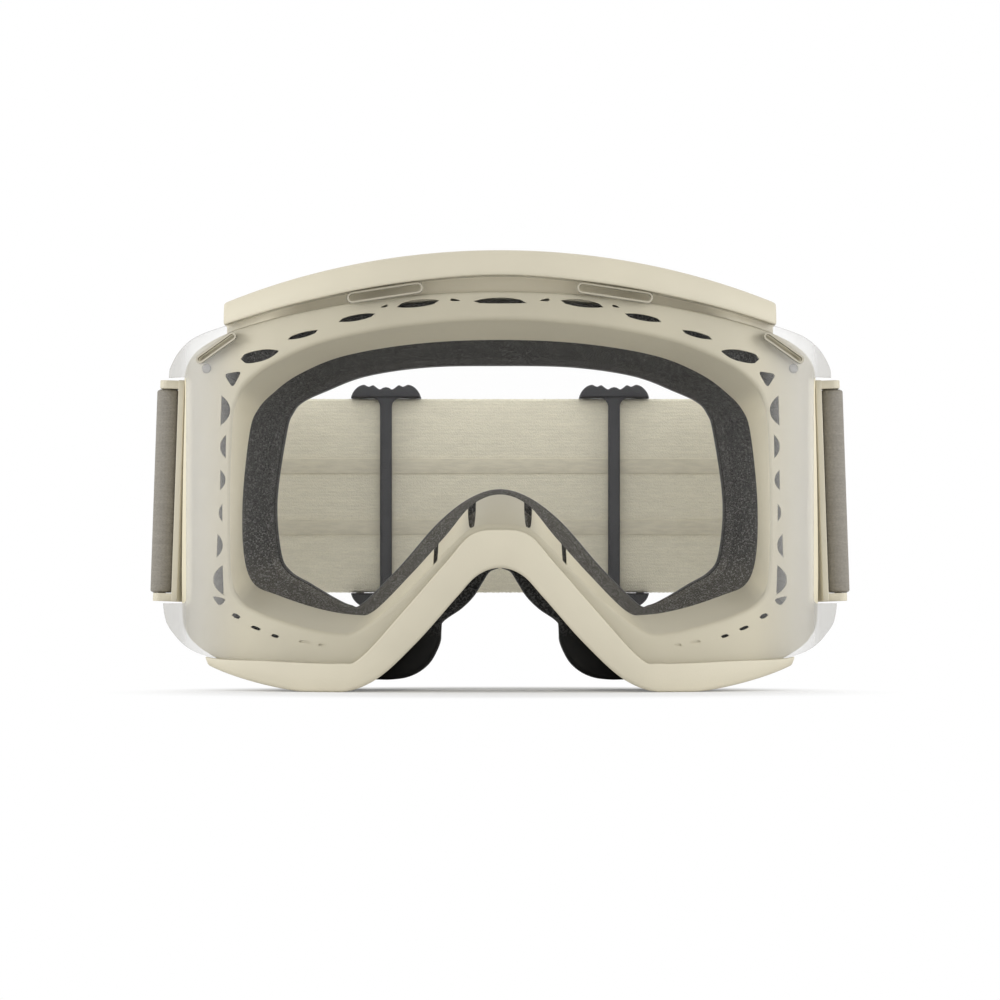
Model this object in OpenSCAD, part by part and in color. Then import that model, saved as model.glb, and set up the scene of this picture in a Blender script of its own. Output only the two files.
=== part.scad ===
// Mountain bike goggles: a one-piece mask frame, a snap-in cylindrical lens, layered face foam
// and a head strap with two sliding adjusters.
// The wearer looks along -Y, +X is the wearer's left, +Z is up, and the goggles stand on Z = 0.

/* [Lens] */
// Radius of the cylinder that the lens is bent to
lens_r = 105; // [98:1:125]
// Thickness of the lens
lens_t = 1.6; // [1.2:0.1:2]
// Half width of the lens at its widest place
lens_half_w = 83.5; // [80:0.5:88]
// Height of the lens's top edge above the ground
lens_top = 99.7; // [97:0.1:103]
// Gap between the lens and the rims round it
lens_gap = 0.3; // [0.2:0.05:0.5]
// Air gap between the lens and the front plate
lens_air = 1; // [0.6:0.1:2]
// Clear height of the two long slots
long_slot_h = 1.7; // [1.2:0.1:2]
// Clear height of the two short slots
short_slot_h = 1.1; // [0.8:0.1:1.5]
// Width of the rim round each slot
slot_rim = 0.5; // [0.4:0.05:0.8]
// How far a slot's rim stands proud of the lens on each side
slot_rim_proud = 0.25; // [0.1:0.05:0.6]
// Radius of each snap peg behind the lens
peg_r = 0.9; // [0.7:0.05:1.2]
// How far a peg reaches behind the front plate's face
peg_reach = 1.2; // [0.8:0.1:1.4]
// Gap round each peg in its socket
peg_gap = 0.3; // [0.2:0.05:0.4]
// Gap between each slot's rim and the lens
slot_fit = 0.05; // [0.02:0.01:0.1]

/* [Frame] */
// Thickness of the frame's walls
wall = 1.6; // [1.2:0.1:2]
// Depth of the frame, from the lens's front to the face of the rear flange
frame_depth = 22; // [19:0.5:26]
// How far the brow bar stands out in front of the lens
brow_proud = 1.5; // [0.5:0.1:3]
// Depth of the brow bar behind the lens's front
brow_depth = 11; // [8:0.5:13]
// Height of the brow bar at its centre
brow_h = 6; // [4.5:0.1:8]
// Radius of the brow bar's top edge
brow_r = 205.5; // [180:0.5:260]
// Half width of the brow bar
brow_half_w = 67.2; // [62:0.2:70]
// How far the web under the brow bar stops short of each end
web_set_in = 9; // [6:0.5:14]
// How far the lower rim stands out in front of the lens
rim_proud = 0.8; // [0.3:0.1:1.5]
// Length of each slot in the frame's top wall
top_slot_l = 10; // [7:0.5:11]
// Width of each slot in the frame's top wall
top_slot_w = 5; // [3:0.5:7]
// Number of slots in the frame's top wall
top_slots = 7; // [5:2:9]
// Step from one slot in the top wall to the next, in outline points
top_slot_step = 0.6; // [0.5:0.05:0.7]
// Width of the slits in the nose's inner wall
nose_slit_w = 1.6; // [1:0.1:2]
// Smallest radius in a vent's corner
vent_tip = 0.22; // [0.15:0.01:0.3]

/* [Face foam] */
// Radius that the face side of the frame and foam is bent to
face_r = 95; // [88:1:120]
// Thickness of the firm base layer
foam_base_t = 12; // [9:0.5:15]
// Thickness of the soft middle layer
foam_middle_t = 4.4; // [3:0.2:7]
// Thickness of the fleece layer
fleece_t = 2; // [1.5:0.1:3]
// Glue line between bonded layers
glue = 0.1; // [0.05:0.05:0.3]
// Gap round each foam strip in the frame's channel
strip_gap = 0.3; // [0.2:0.05:0.6]
// How far each foam strip lies behind the front plate
strip_set_back = 1.2; // [0.5:0.1:2]
// Depth of the nose flaps, front to back
flap_depth = 14; // [10:0.5:16]
// Rounding of the nose flaps' free edge
flap_round = 1.4; // [0.8:0.1:2]
// Gap between the nose flaps and the foam they are bonded to
flap_gap = 0.9; // [0.3:0.05:1.2]

/* [Strap] */
// Width of the webbing
strap_w = 50; // [40:1:52]
// Thickness of the webbing
strap_t = 1.7; // [1.2:0.1:2]
// Height of the webbing's lower edge above the ground
strap_z = 24.1; // [22:0.1:26]
// Distance from the lens's front to the inner face of the strap at the back
strap_back = 108; // [100:1:120]
// Radius of the strap's bends on its centre line
strap_bend_r = 30; // [20:1:35]
// Gap between two layers of webbing
layer_gap = 0.3; // [0.2:0.05:0.6]
// Lean of the outriggers and of the strap there
lean = 2; // [0:0.2:3]
// Width of each silicone grip strip
grip_w = 3.9; // [2.5:0.1:5]
// Thickness of each silicone grip strip
grip_t = 0.3; // [0.2:0.05:0.5]
// Distance between the centres of the two grip strips
grip_pitch = 15.9; // [10:0.1:24]
// How far the pair of grip strips lies below the strap's middle
grip_drop = 0.3; // [0:0.1:2]

/* [Outriggers] */
// How far each strap bar lies inside the lens's widest place
bar_inset = 0.4; // [-2:0.1:1]
// How far each strap bar lies behind the front plate's outer edge
bar_back = 7.8; // [6:0.1:11]
// Gap between the strap bar and the fold of webbing round it
fold_gap = 0.15; // [0.1:0.05:0.4]
// Thickness of each strap bar
bar_t = 1.7; // [1.4:0.1:2.4]
// Length of each strap bar's section, front to back
bar_l = 4.2; // [3:0.1:6]
// Thickness of the lips above and below the strap
lip_t = 2; // [1.5:0.1:3]
// Radius of each lip's outer corner
lip_r = 2; // [1:0.1:2.5]
// How far the lips reach past the fold of webbing
lip_cover = 1; // [0.5:0.1:2]
// Gap between the frame's side wall and the outrigger bonded to it
foot_gap = 0.3; // [0.1:0.05:0.5]
// Gap between the outrigger and the notch in the lens
notch_gap = 0.5; // [0.4:0.05:1]

/* [Adjusters] */
// Distance of each adjuster from the middle of the goggles
adjuster_x = 29.6; // [26:0.1:32]
// Width of each adjuster's heads
adjuster_w = 18.1; // [17:0.1:20]
// Height of each adjuster's heads above and below the strap
head_h = 3.5; // [3:0.1:5]
// Width of the centre bar
centre_bar_w = 3.1; // [2.4:0.1:4]
// Thickness of the adjuster's bars, front to back
adjuster_bar_t = 2.2; // [1.8:0.1:3]
// Distance of the outer bars from the centre bar
outer_bar_x = 6.9; // [6:0.1:7.3]
// Gap between the adjuster and the webbing that slides through it
slide_gap = 0.3; // [0.25:0.05:0.5]
// Thickness of the sewn strap end round the adjuster's outer bar
end_t = 1.3; // [1:0.1:1.6]
// Length of the sewn strap end past the outer bar
end_l = 8; // [5:0.5:9]
// Radius of each finger rib
rib_r = 1.25; // [0.9:0.05:1.6]
// Distance from rib to rib
rib_pitch = 2.9; // [2.4:0.1:3.2]
// Number of ribs on each head
ribs = 5; // [3:2:5]
// Radius where the centre bar meets each head
root_r = 2.2; // [1:0.1:2.6]

/* [Hidden] */

$fn = 64;
// Steps from one outline point to the next
span = 3;
// Facets of the large bend cylinders
bend_fn = 120;
// Steps round each end of a lens slot
slot_steps = 10;
// Height that is above every piece
sky = 140;
// Small overlap that makes cuts clean
cut = 1;

// Distances of the layers behind the lens's front, on the middle line
plate_y = lens_t + lens_air;
foam_y = frame_depth + glue;
middle_y = foam_y + foam_base_t + glue;
fleece_y = middle_y + foam_middle_t + glue;
face_y = fleece_y + fleece_t;
foam_depth = face_y - foam_y;
flap_y = foam_y + foam_base_t / 2;

// Heights along the strap
strap_top = strap_z + strap_w;
strap_mid = strap_z + strap_w / 2;
grip_mid = strap_mid - grip_drop;

// Depths at the back of the strap
strap_line = strap_back + strap_t / 2;
strap_outer = strap_back + strap_t;
end_line = strap_outer + slide_gap + end_t / 2;
outer_bar_y = end_line + end_t / 2 + slide_gap / 2;
outer_bar_back = outer_bar_y + adjuster_bar_t;
back_y = outer_bar_back + slide_gap / 2 + end_t;
centre_bar_back = strap_back - glue - grip_t - slide_gap;
// The goggles stand with the middle of their depth at Y = 0
mid_y = (back_y - brow_proud) / 2;

// Half width and height of the lens that the tables below are drawn for; fitted() scales them
drawn = [83.5, 99.7];
// The lens's edge: right half, from the brow's middle down the side, along the cheek and up to
// the bridge of the nose, each point as [x, z]. Every other outline steps in from it
lens_edge_drawn = [
    [0, 99.7], [25, 97.8], [48, 93.8], [65, 89.6], [75.6, 86.2], [80.9, 80.6], [82, 74],
    [82.8, 49], [83.5, 22], [80.2, 13.2], [72, 8.3], [56, 7.4], [39, 6.9], [33.4, 8.3],
    [23.5, 19], [13, 31], [6.8, 37.7], [0, 38.9]];
// Steps to the front plate's outer edge
plate_outer_step = [
    [0, -3.6], [0, -2.8], [-1, -1.8], [-1.2, -1.3], [-1.8, -2.3], [-3.3, -1.8], [-4.2, -2.5],
    [-4.4, 0], [-4.9, 1], [-4.6, 1.3], [-2, 0], [-0.5, -5.5], [2, -6.9], [-2.6, -5.3],
    [-2.9, -7], [-2.2, -8], [-1.3, -9.2], [0, -8.6]];
// Steps to the front plate's inner edge
plate_inner_step = [
    [0, -10.5], [-3, -9.9], [-6, -9.4], [-10, -10.2], [-14.3, -11], [-16.7, -10.1], [-16.9, -10],
    [-17.2, -1], [-18.2, 6], [-17.2, 8.8], [-14.5, 10.3], [-8, 8.2], [0, 7.1], [0.1, 6.9],
    [0, 4.2], [0.2, 2.6], [0, 1.3], [0, 1.1]];
// Steps to the eye opening at the rear flange
opening_step = [
    [0, -14.5], [-5, -13.4], [-10, -12.1], [-15.8, -12.1], [-20, -13], [-21.1, -11.6],
    [-20.1, -10.7], [-19.1, -2], [-20.1, 11.5], [-19.4, 13], [-17.5, 15], [-11.5, 12.7],
    [-3.5, 11.7], [-2.8, 11.3], [-2.2, 8.5], [0, 5.8], [0, 7.5], [0, 9]];
// Steps to the face foam's inner edge at the face
foam_inner_step = [
    [0, -20.2], [-7, -18.6], [-15, -16.6], [-22, -15.9], [-26.8, -15], [-29.7, -12],
    [-29.2, -10], [-27.5, -2], [-29.2, 12], [-28.4, 16.2], [-25.5, 17.9], [-15, 15.5],
    [-2, 14.1], [0.8, 13.1], [1.5, 11.4], [2.5, 10.2], [0.7, 9.6], [0, 10.6]];
// Steps to the outer edge of the rear flange and the face foam
foam_outer_step = [
    [0, -5.4], [-1, -4.8], [-3, -4.5], [-6.5, -5.4], [-10.1, -7], [-11.7, -6.6], [-11.2, -7],
    [-11.2, -1], [-12.5, 5], [-11.7, 3.3], [-9.5, -0.8], [-3, -6.2], [1, -7.5], [-1.9, -5.7],
    [-1.5, -5.5], [-0.4, -7], [-0.5, -7.1], [0, -5.7]];
// Steps to the lower rim's outer edge; only the stretch from the cheek to the nose is used
rim_step = [
    [0, 0], [0, 0], [0, 0], [0, 0], [0, 0], [0, 0], [0, 0], [0, 0], [0, 0], [0, 0],
    [-0.8, -2.1], [0, -6], [2, -7.2], [-2.9, -5.7], [-3.2, -7.4], [-2.4, -8.5],
    [-1.4, -9.7], [0, -9.1]];
// Outline point at which the lower rim starts
rim_start = 10;
// Last outline point under the brow bar
brow_stop = 4;

// Vent holes of the front plate's right half: [x, z, length, height, turn]
leaf_vents = [
    [19.7, 93.1, 9.8, 1.8, 6], [34.1, 89.9, 9.4, 1.8, 11], [47.4, 86.1, 7.6, 1.8, 17],
    [58.4, 81.4, 9.9, 2.5, 16], [67.2, 68.6, 7.7, 2.2, 92], [67.5, 59.7, 5.6, 1.7, 90],
    [67.9, 51.4, 4.7, 1.4, 90], [68.3, 43.6, 4.7, 1.1, 90], [68.5, 35.5, 5.9, 1.5, 88],
    [68.4, 27, 7.1, 2.4, 87], [64.3, 18.2, 2.3, 1.2, -24], [59.3, 15.3, 2.5, 0.9, -20],
    [54.5, 13.4, 1.9, 0.9, -16], [47.1, 12, 3, 0.7, -8], [42.9, 11.3, 1.8, 0.8, -5]];
// The vent on the middle line: lowest z, length and height
middle_vent = [92.9, 12.8, 1.6];
// Three-cornered vents of the right half, each as its three corners
wedge_vents = [
    [[9, 93.7], [12, 93.6], [11.8, 94.5]], [[26.8, 92.4], [29.2, 92.2], [27, 93.2]],
    [[63.6, 76.6], [67.2, 75.9], [65.4, 73.6]], [[67, 22.6], [70.2, 22.9], [68, 20.5]]];
// Slits in the nose's inner wall: [x, lowest z, highest z]
nose_slits = [[6.8, 40.6, 46.4], [15.7, 31.2, 36]];
// Outline point beside which the outriggers stand
outrigger_at = 7;
// Share of the way from the flange to the front plate at which the top slots lie
top_slot_share = 0.4;

// Slots near the lens's top edge, right half: [inner end, outer end, clear height]
lens_slots = [
    [[18.9, 96.9], [36.2, 94.6], long_slot_h],
    [[64.7, 86.5], [73.8, 80.7], short_slot_h]];
// Place of the snap peg on the right half
peg_drawn = [71.9, 78.8];

// How the channel's foam is divided: first and last outline step of each strip on the right half
strip_top = [0, 12] / span;
strip_side = [13, 25] / span;
strip_lower = [26, 38] / span;
strip_nose = [40, 51] / span;

// The nose flap's free edge on the right half, each point as [x, z]
flap_edge = [
    [0.4, 29.6], [2.8, 29], [4.6, 26.9], [7, 23.4], [10.5, 19.8], [14.6, 15.7], [14.7, 11.8],
    [16.4, 8.6], [19, 6], [23, 3.4], [27, 2.6]];
// Where the flap is bonded to the foam, first and last outline point
flap_root = [13, 16.8];

// Grip strips reach this far round the strap's bend, in degrees, a whole number of its steps
grip_turn = 45;
// The return layer of the strap ends this far round the bend, in degrees
return_turn = 11;
// Steps in a quarter turn of the strap and in its fold round a bar
bend_steps = 8;

bone = [0.80, 0.77, 0.70];
foam_grey = [0.27, 0.27, 0.27];
soft_grey = [0.32, 0.32, 0.32];
fleece_grey = [0.24, 0.24, 0.24];
flap_black = [0.10, 0.10, 0.10];
charcoal = [0.15, 0.15, 0.16];
taupe = [0.47, 0.44, 0.41];
webbing = [0.80, 0.78, 0.70];
silicone = [0.72, 0.70, 0.62];
clear = [0.85, 0.88, 0.88, 0.35];

// Sag of a cylinder of radius r at distance x from its foremost line
function sag(x, r) = r - sqrt(r * r - x * x);

// Scales a drawn point or a drawn table to the lens's size
function fit(p) = [p.x * lens_half_w / drawn.x, p.y * lens_top / drawn.y];
function fitted(pts) = [for (p = pts) fit(p)];
function stepped(base, step) = [for (i = [0:len(base) - 1]) base[i] + fit(step[i])];
function mix(a, b, t) = a + (b - a) * t;
function toward(a, b, d) = a + (b - a) * d / norm(b - a);
function flip(p) = [-p.x, p.y];

// A point of the right half's list, mirrored past both ends
function control(half, i) =
    i < 0 ? flip(half[-i]) : i > len(half) - 1 ? flip(half[2 * len(half) - 2 - i]) : half[i];

// The smooth curve through the list at any place along it, no lower than the ground
function curve(half, s) =
    let (i = min(floor(s), len(half) - 2), t = s - i,
         a = control(half, i - 1), b = control(half, i),
         c = control(half, i + 1), d = control(half, i + 2),
         p = b + (c - a) * t / 2 + (a - 2.5 * b + 2 * c - d / 2) * t * t
             + (1.5 * b - a / 2 - 1.5 * c + d / 2) * t * t * t)
    [p.x, max(p.y, 0)];

// Places along an outline from one point of the list to another, both whole steps of a span
function places(from, to) =
    let (n = round((to - from) * span)) [for (k = [0:n]) from + (to - from) * k / n];

last_point = len(lens_edge_drawn) - 1;
function half_curve(half, from = 0, to = last_point) = [for (s = places(from, to)) curve(half, s)];

lens_edge = fitted(lens_edge_drawn);
plate_outer = stepped(lens_edge, plate_outer_step);
plate_inner = stepped(lens_edge, plate_inner_step);
opening = stepped(lens_edge, opening_step);
foam_inner = stepped(lens_edge, foam_inner_step);
foam_outer = stepped(lens_edge, foam_outer_step);
rim_outer = stepped(lens_edge, rim_step);
// The web under the brow bar's back stands on the channel's top wall
web_edge = [for (i = [0:last_point])
    mix(plate_outer[i], foam_outer[i], (brow_depth - wall - plate_y) / (frame_depth - plate_y))
        + [0, glue]];

// The strap's bends in plan: the bar's place, the fold round it and the corner at the back
bar_x = lens_half_w - bar_inset;
bar_y = at_front(plate_outer[outrigger_at], plate_y).y + bar_back;
bar_at = [bar_x, bar_y];
fold_r = bar_t / 2 + fold_gap + strap_t / 2;
bend_at = [bar_x - fold_r - strap_bend_r, strap_line - strap_bend_r];
outer_bend_r = strap_bend_r + strap_t + layer_gap;
// Where the strap's outer layer comes to rest on its inner layer
join_y = bar_y + 4 * bar_l;

// Outer face of each outrigger's brace, and the lens's notch in front of it
brace_x = bar_x - fold_r - strap_t / 2 - layer_gap;
notch_x = brace_x - wall - tan(lean) * (strap_w / 2 + lip_t) - 2 * lens_gap;

// Puts an outline point in space: a depth inside the lens's curve, or behind the face's curve
function at_front(p, d) = [p.x, lens_r - sqrt((lens_r - d) * (lens_r - d) - p.x * p.x), p.y];
function at_face(p, d) = [p.x, d + face_r - sqrt(face_r * face_r - p.x * p.x), p.y];

// The channel's four-cornered section at one place, drawn in on every side
function channel(s, w = 0) =
    let (a = curve(plate_outer, s), b = curve(plate_inner, s),
         c = curve(opening, s), d = curve(foam_outer, s))
    [at_front(toward(a, b, w), plate_y + w), at_front(toward(b, a, w), plate_y + w),
     at_face(toward(c, d, w), frame_depth - w), at_face(toward(d, c, w), frame_depth - w)];

// The section of the foam strip in the channel, set back from the front plate
function strip_section(s) =
    let (c = channel(s, wall + strip_gap))
    [toward(c[0], c[3], strip_set_back), toward(c[1], c[2], strip_set_back), c[2], c[3]];

// A layer of the face foam between two depths, its far edges drawn in where they are soft
function foam_section(s, near, far, soft = 0) =
    let (lean_in = function (d) mix(curve(opening, s), curve(foam_inner, s), (d - foam_y) / foam_depth),
         a = lean_in(near), b = lean_in(far), c = curve(foam_outer, s))
    soft == 0 ? [at_face(a, near), at_face(b, far), at_face(c, far), at_face(c, near)]
    : [at_face(a, near), at_face(b, far - soft), at_face(toward(b, c, soft), far),
       at_face(toward(c, b, soft), far), at_face(c, far - soft), at_face(c, near)];

// The nose flap's rounded section at one place of its free edge
function flap_section(k) =
    let (share = k / (len(flap_edge) - 1), edge = fit(flap_edge[k]),
         root = toward(curve(foam_outer, mix(flap_root[1], flap_root[0], share)), edge, flap_gap),
         tuck = toward(edge, root, flap_round))
    [at_face(root, flap_y), at_face(tuck, flap_y), at_face(edge, flap_y + flap_round),
     at_face(edge, flap_y + flap_depth - flap_round), at_face(tuck, flap_y + flap_depth),
     at_face(root, flap_y + flap_depth)];

function flipped(sec) = [for (p = sec) [-p.x, p.y, p.z]];
// Sections all the way round, from the brow's middle down the right side and back
function ring_of(half_sections) =
    let (n = len(half_sections))
    concat(half_sections, [for (k = [n - 2:-1:1]) flipped(half_sections[k])]);
// The right half's sections, carried over the middle line where they start or end on it
function carried(sections, from, to) =
    let (n = len(sections))
    concat(from == 0 ? [for (k = [n - 1:-1:1]) flipped(sections[k])] : [], sections,
        to == last_point ? [for (k = [n - 2:-1:0]) flipped(sections[k])] : []);

// A point on a circle in plan, turned from straight back towards the right
function turned(c, r, a) = [c.x + r * sin(a), c.y + r * cos(a)];
function bend_angles(from, to) =
    let (n = ceil(abs(to - from) * bend_steps / 90)) [for (k = [0:n]) from + (to - from) * k / n];

// The strap's centre line in plan on the right side as [x, y, share of the lean]: from the end
// of the outer layer, forward, round the bar, and along the inner layer to the middle of the back
function strap_half() = concat(
    [for (a = bend_angles(return_turn, 90)) [each turned(bend_at, outer_bend_r, a), a / 90]],
    [[bend_at.x + outer_bend_r, join_y, 1], [bar_x + fold_r, bar_y + bar_l, 1]],
    [for (a = bend_angles(90, 270)) [each turned(bar_at, fold_r, a), 1]],
    [for (a = bend_angles(90, 0)) [each turned(bend_at, strap_bend_r, a), a / 90]],
    [[0, strap_line, 0]]);
function mirrored_path(half) = [for (k = [len(half) - 1:-1:0]) [-half[k].x, half[k].y, half[k].z]];

// One upright section of webbing at point i of a path, leaning outwards towards the ground
function web_section(path, i, t, low, high) =
    let (p = path[i], last = len(path) - 1,
         run = path[min(i + 1, last)] - path[max(i - 1, 0)],
         side = [-run.y, run.x] / norm([run.x, run.y]) * t / 2,
         tilt = tan(lean) * p.z * sign(p.x))
    [for (e = [[-1, low], [1, low], [1, high], [-1, high]])
        [p.x + e[0] * side.x - tilt * (e[1] - strap_mid), p.y + e[0] * side.y, e[1]]];
module web(path, t, low, high) {
    loft([for (i = [0:len(path) - 1]) web_section(path, i, t, low, high)]);
}

// Joins sections into one skin, closed in a ring or capped at both ends. The four-cornered faces
// of a section's last half are split the other way, so that stacked layers meet face to face
module loft(sections, ring = false) {
    n = len(sections);
    m = len(sections[0]);
    spans = ring ? n : n - 1;
    sides = [for (i = [0:spans - 1], j = [0:m - 1])
        let (a = i * m + j, b = i * m + (j + 1) % m,
             c = (i + 1) % n * m + (j + 1) % m, d = (i + 1) % n * m + j)
        each (j > m / 2 ? [[a, d, b], [b, d, c]] : [[a, c, b], [a, d, c]])];
    caps = ring ? [] : [for (j = [1:m - 2])
        each [[0, j, j + 1], [(n - 1) * m, (n - 1) * m + j + 1, (n - 1) * m + j]]];
    polyhedron(points = [for (s = sections) each s], faces = concat(sides, caps), convexity = 10);
}

// Moves the whole model so that the middle of its depth is at Y = 0
module place() {
    translate([0, -mid_y, 0]) children();
}

module both_sides() {
    children();
    mirror([1, 0, 0]) children();
}

// A flat shape in x and z, pushed back along Y
module along_y(from, to) {
    translate([0, to, 0]) rotate([90, 0, 0]) linear_extrude(to - from) children();
}

// The curved space between two depths inside the lens's cylinder
module shell(front, back) {
    translate([0, lens_r, -cut]) difference() {
        cylinder(r = lens_r - front, h = sky, $fn = bend_fn);
        translate([0, 0, -cut]) cylinder(r = lens_r - back, h = sky + 2 * cut, $fn = bend_fn);
    }
}

// A flat shape in x and z, bent to the lens's curve between two depths
module bent(front, back) {
    intersection() {
        along_y(-brow_proud - cut, lens_r) children();
        shell(front, back);
    }
}

// A bar with round ends between two points
module round_bar(a, b, r) {
    hull() for (p = [a, b]) translate(p) circle(r = r, $fn = 12);
}

module leaf(v) {
    size = fit([v[2], v[3]]);
    translate(fit([v[0], v[1]])) rotate(-v[4]) hull() {
        for (e = [-1, 1]) translate([e * (size.x / 2 - vent_tip), 0]) circle(r = vent_tip, $fn = 6);
        for (e = [-1, 1]) translate([e * size.x / 8, 0]) circle(d = size.y, $fn = 12);
    }
}

module wedge(corners) {
    hull() for (c = fitted(corners)) translate(c) circle(r = vent_tip, $fn = 6);
}

module plate_vents() {
    size = fit([middle_vent[1], middle_vent[2]]);
    translate(fit([0, middle_vent[0]])) hull() for (e = [-1, 1]) {
        translate([e * (size.x / 2 - vent_tip), vent_tip]) circle(r = vent_tip, $fn = 6);
        translate([e * size.x / 5, size.y - vent_tip]) circle(r = vent_tip, $fn = 6);
    }
    both_sides() {
        for (v = leaf_vents) leaf(v);
        for (v = wedge_vents) wedge(v);
    }
}

// The brow bar's outline above a curve, out to a half width
module brow_outline(under, half_w) {
    below = half_curve(under, 0, brow_stop);
    difference() {
        intersection() {
            translate([0, lens_top + brow_h - brow_r]) circle(r = brow_r, $fn = 2 * bend_fn);
            translate([-half_w, lens_top / 2]) square([2 * half_w, lens_top]);
        }
        both_sides() polygon(concat(below, [[below[len(below) - 1].x, 0], [-cut, 0], [-cut, below[0].y]]));
    }
}

// A curve of the right half carried over the middle line to the left
function across(pts) = concat(pts, [for (k = [len(pts) - 2:-1:0]) flip(pts[k])]);
module rim_outline() {
    inner = across(half_curve(lens_edge, rim_start));
    polygon(concat(across(half_curve(rim_outer, rim_start)), [for (k = [len(inner) - 1:-1:0]) inner[k]]));
}

module lens_outline() {
    half = [for (s = places(0, last_point)) toward(curve(lens_edge, s), curve(plate_inner, s), lens_gap)];
    polygon(concat(half, [for (k = [len(half) - 2:-1:1]) flip(half[k])]));
}

// A round-ended slot between two ends, its outline moved outwards by grow
module slot_shape(slot, grow) {
    a = fit(slot[0]);
    b = fit(slot[1]);
    r = slot[2] / 2;
    run = (b - a) / norm(b - a);
    turn = atan2(run.y, run.x);
    polygon(concat(
        [for (k = [0:slot_steps]) let (t = turn + 90 + 180 * k / slot_steps)
            a + run * r + (r + grow) * [cos(t), sin(t)]],
        [for (k = [0:slot_steps]) let (t = turn - 90 + 180 * k / slot_steps)
            b - run * r + (r + grow) * [cos(t), sin(t)]]));
}

// A peg's axis runs straight back from behind the lens
module peg_shape(grow) {
    translate(fit(peg_drawn)) circle(r = peg_r + grow, $fn = 16);
}

// One slot through the frame's top wall, at a place along the outline
module top_slot(s) {
    at = curve(foam_outer, s);
    rise = mix(at, curve(plate_outer, s), top_slot_share).y;
    slot_y = sag(at.x, face_r) + (brow_depth + frame_depth - wall) / 2;
    translate([at.x, slot_y, rise - 2 * wall]) rotate(asin(at.x / face_r)) linear_extrude(sky)
        round_bar([(top_slot_w - top_slot_l) / 2, 0], [(top_slot_l - top_slot_w) / 2, 0], top_slot_w / 2);
}

module frame_shell() {
    color(bone) place() difference() {
        loft(ring_of([for (s = places(0, last_point)) channel(s)]), ring = true);
        loft(ring_of([for (s = places(0, last_point)) channel(s, wall)]), ring = true);
        bent(plate_y - cut / 2, plate_y + wall + cut / 2) {
            plate_vents();
            both_sides() peg_shape(peg_gap);
        }
        both_sides() for (n = nose_slits) let (low = fit([n.x, n.y]), high = fit([n.x, n.z]))
            translate([low.x - nose_slit_w / 2, plate_y + wall, low.y])
                cube([nose_slit_w, frame_depth - plate_y - 3 * wall, high.y - low.y]);
        both_sides() for (k = [0:(top_slots - 1) / 2]) top_slot(k * top_slot_step);
    }
}

// The opaque bar over the lens's top edge, with a web down to the channel's top wall
module brow_bar() {
    color(bone) place() union() {
        bent(-brow_proud, brow_depth) brow_outline(lens_edge, brow_half_w);
        bent(brow_depth - wall, brow_depth) brow_outline(web_edge, brow_half_w - web_set_in);
    }
}

// The rim in front of the plate along both cheeks and over the nose, which holds the lens's lower edge
module lower_rim() {
    color(bone) place() bent(-rim_proud, plate_y - glue) rim_outline();
}

// A strip of foam inside the channel
module strip(ends) {
    half = [for (s = places(ends[0], ends[1])) strip_section(s)];
    color(foam_grey) place() loft(carried(half, ends[0], ends[1]));
}
module vent_foam_top() { strip(strip_top); }
module vent_foam_left() { strip(strip_side); }
module vent_foam_right() { mirror([1, 0, 0]) vent_foam_left(); }
module vent_foam_lower_left() { strip(strip_lower); }
module vent_foam_lower_right() { mirror([1, 0, 0]) vent_foam_lower_left(); }
module vent_foam_nose() { strip(strip_nose); }

module foam_layer(near, far, shade, soft = 0) {
    color(shade) place()
        loft(ring_of([for (s = places(0, last_point)) foam_section(s, near, far, soft)]), ring = true);
}
module face_foam_base() { foam_layer(foam_y, foam_y + foam_base_t, foam_grey); }
module face_foam_middle() { foam_layer(middle_y, middle_y + foam_middle_t, soft_grey); }
module face_fleece() { foam_layer(fleece_y, face_y, fleece_grey, fleece_t / 2); }

module nose_flap_left() {
    color(flap_black) place() loft([for (k = [0:len(flap_edge) - 1]) flap_section(k)]);
}
module nose_flap_right() { mirror([1, 0, 0]) nose_flap_left(); }

// A bracket on the frame's side that carries one end of the strap on an upright bar
module left_outrigger() {
    front = at_front(curve(plate_outer, outrigger_at), plate_y);
    rear = at_face(curve(foam_outer, outrigger_at), frame_depth);
    lip_out = bar_x + fold_r;
    lip_front = bar_y - fold_r - strap_t - lip_cover;
    lip_l = bar_y + bar_l - lip_front;
    base_z = strap_z - slide_gap - lip_t;
    full_h = strap_w + 2 * (slide_gap + lip_t);
    color(bone) place() translate([bar_x, 0, strap_mid]) rotate([0, -lean, 0])
        translate([-bar_x, 0, -strap_mid]) {
        translate([0, 0, base_z]) linear_extrude(full_h) polygon([
            [front.x + foot_gap, front.y], [brace_x, front.y], [brace_x, bar_y + bar_l],
            [rear.x + 2 * wall, rear.y + wall], [rear.x + foot_gap, rear.y + wall],
            [rear.x + foot_gap, rear.y]]);
        for (z = [base_z, base_z + full_h - lip_t]) translate([0, 0, z]) linear_extrude(lip_t) {
            translate([brace_x - wall, lip_front]) square([lip_out - lip_r - brace_x + wall, lip_l]);
            translate([brace_x, lip_front + lip_r]) square([lip_out - brace_x, lip_l - lip_r]);
            translate([lip_out - lip_r, lip_front + lip_r]) circle(r = lip_r);
        }
        translate([bar_x, bar_y, base_z]) cylinder(d = bar_t, h = full_h);
        translate([bar_x - bar_t / 2, bar_y, base_z]) cube([bar_t, bar_l - bar_t / 2, full_h]);
    }
}
module right_outrigger() { mirror([1, 0, 0]) left_outrigger(); }

module head_strap() {
    half = strap_half();
    left = mirrored_path(half);
    color(webbing) place()
        web(concat(half, [for (k = [1:len(left) - 1]) left[k]]), strap_t, strap_z, strap_top);
}

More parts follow.
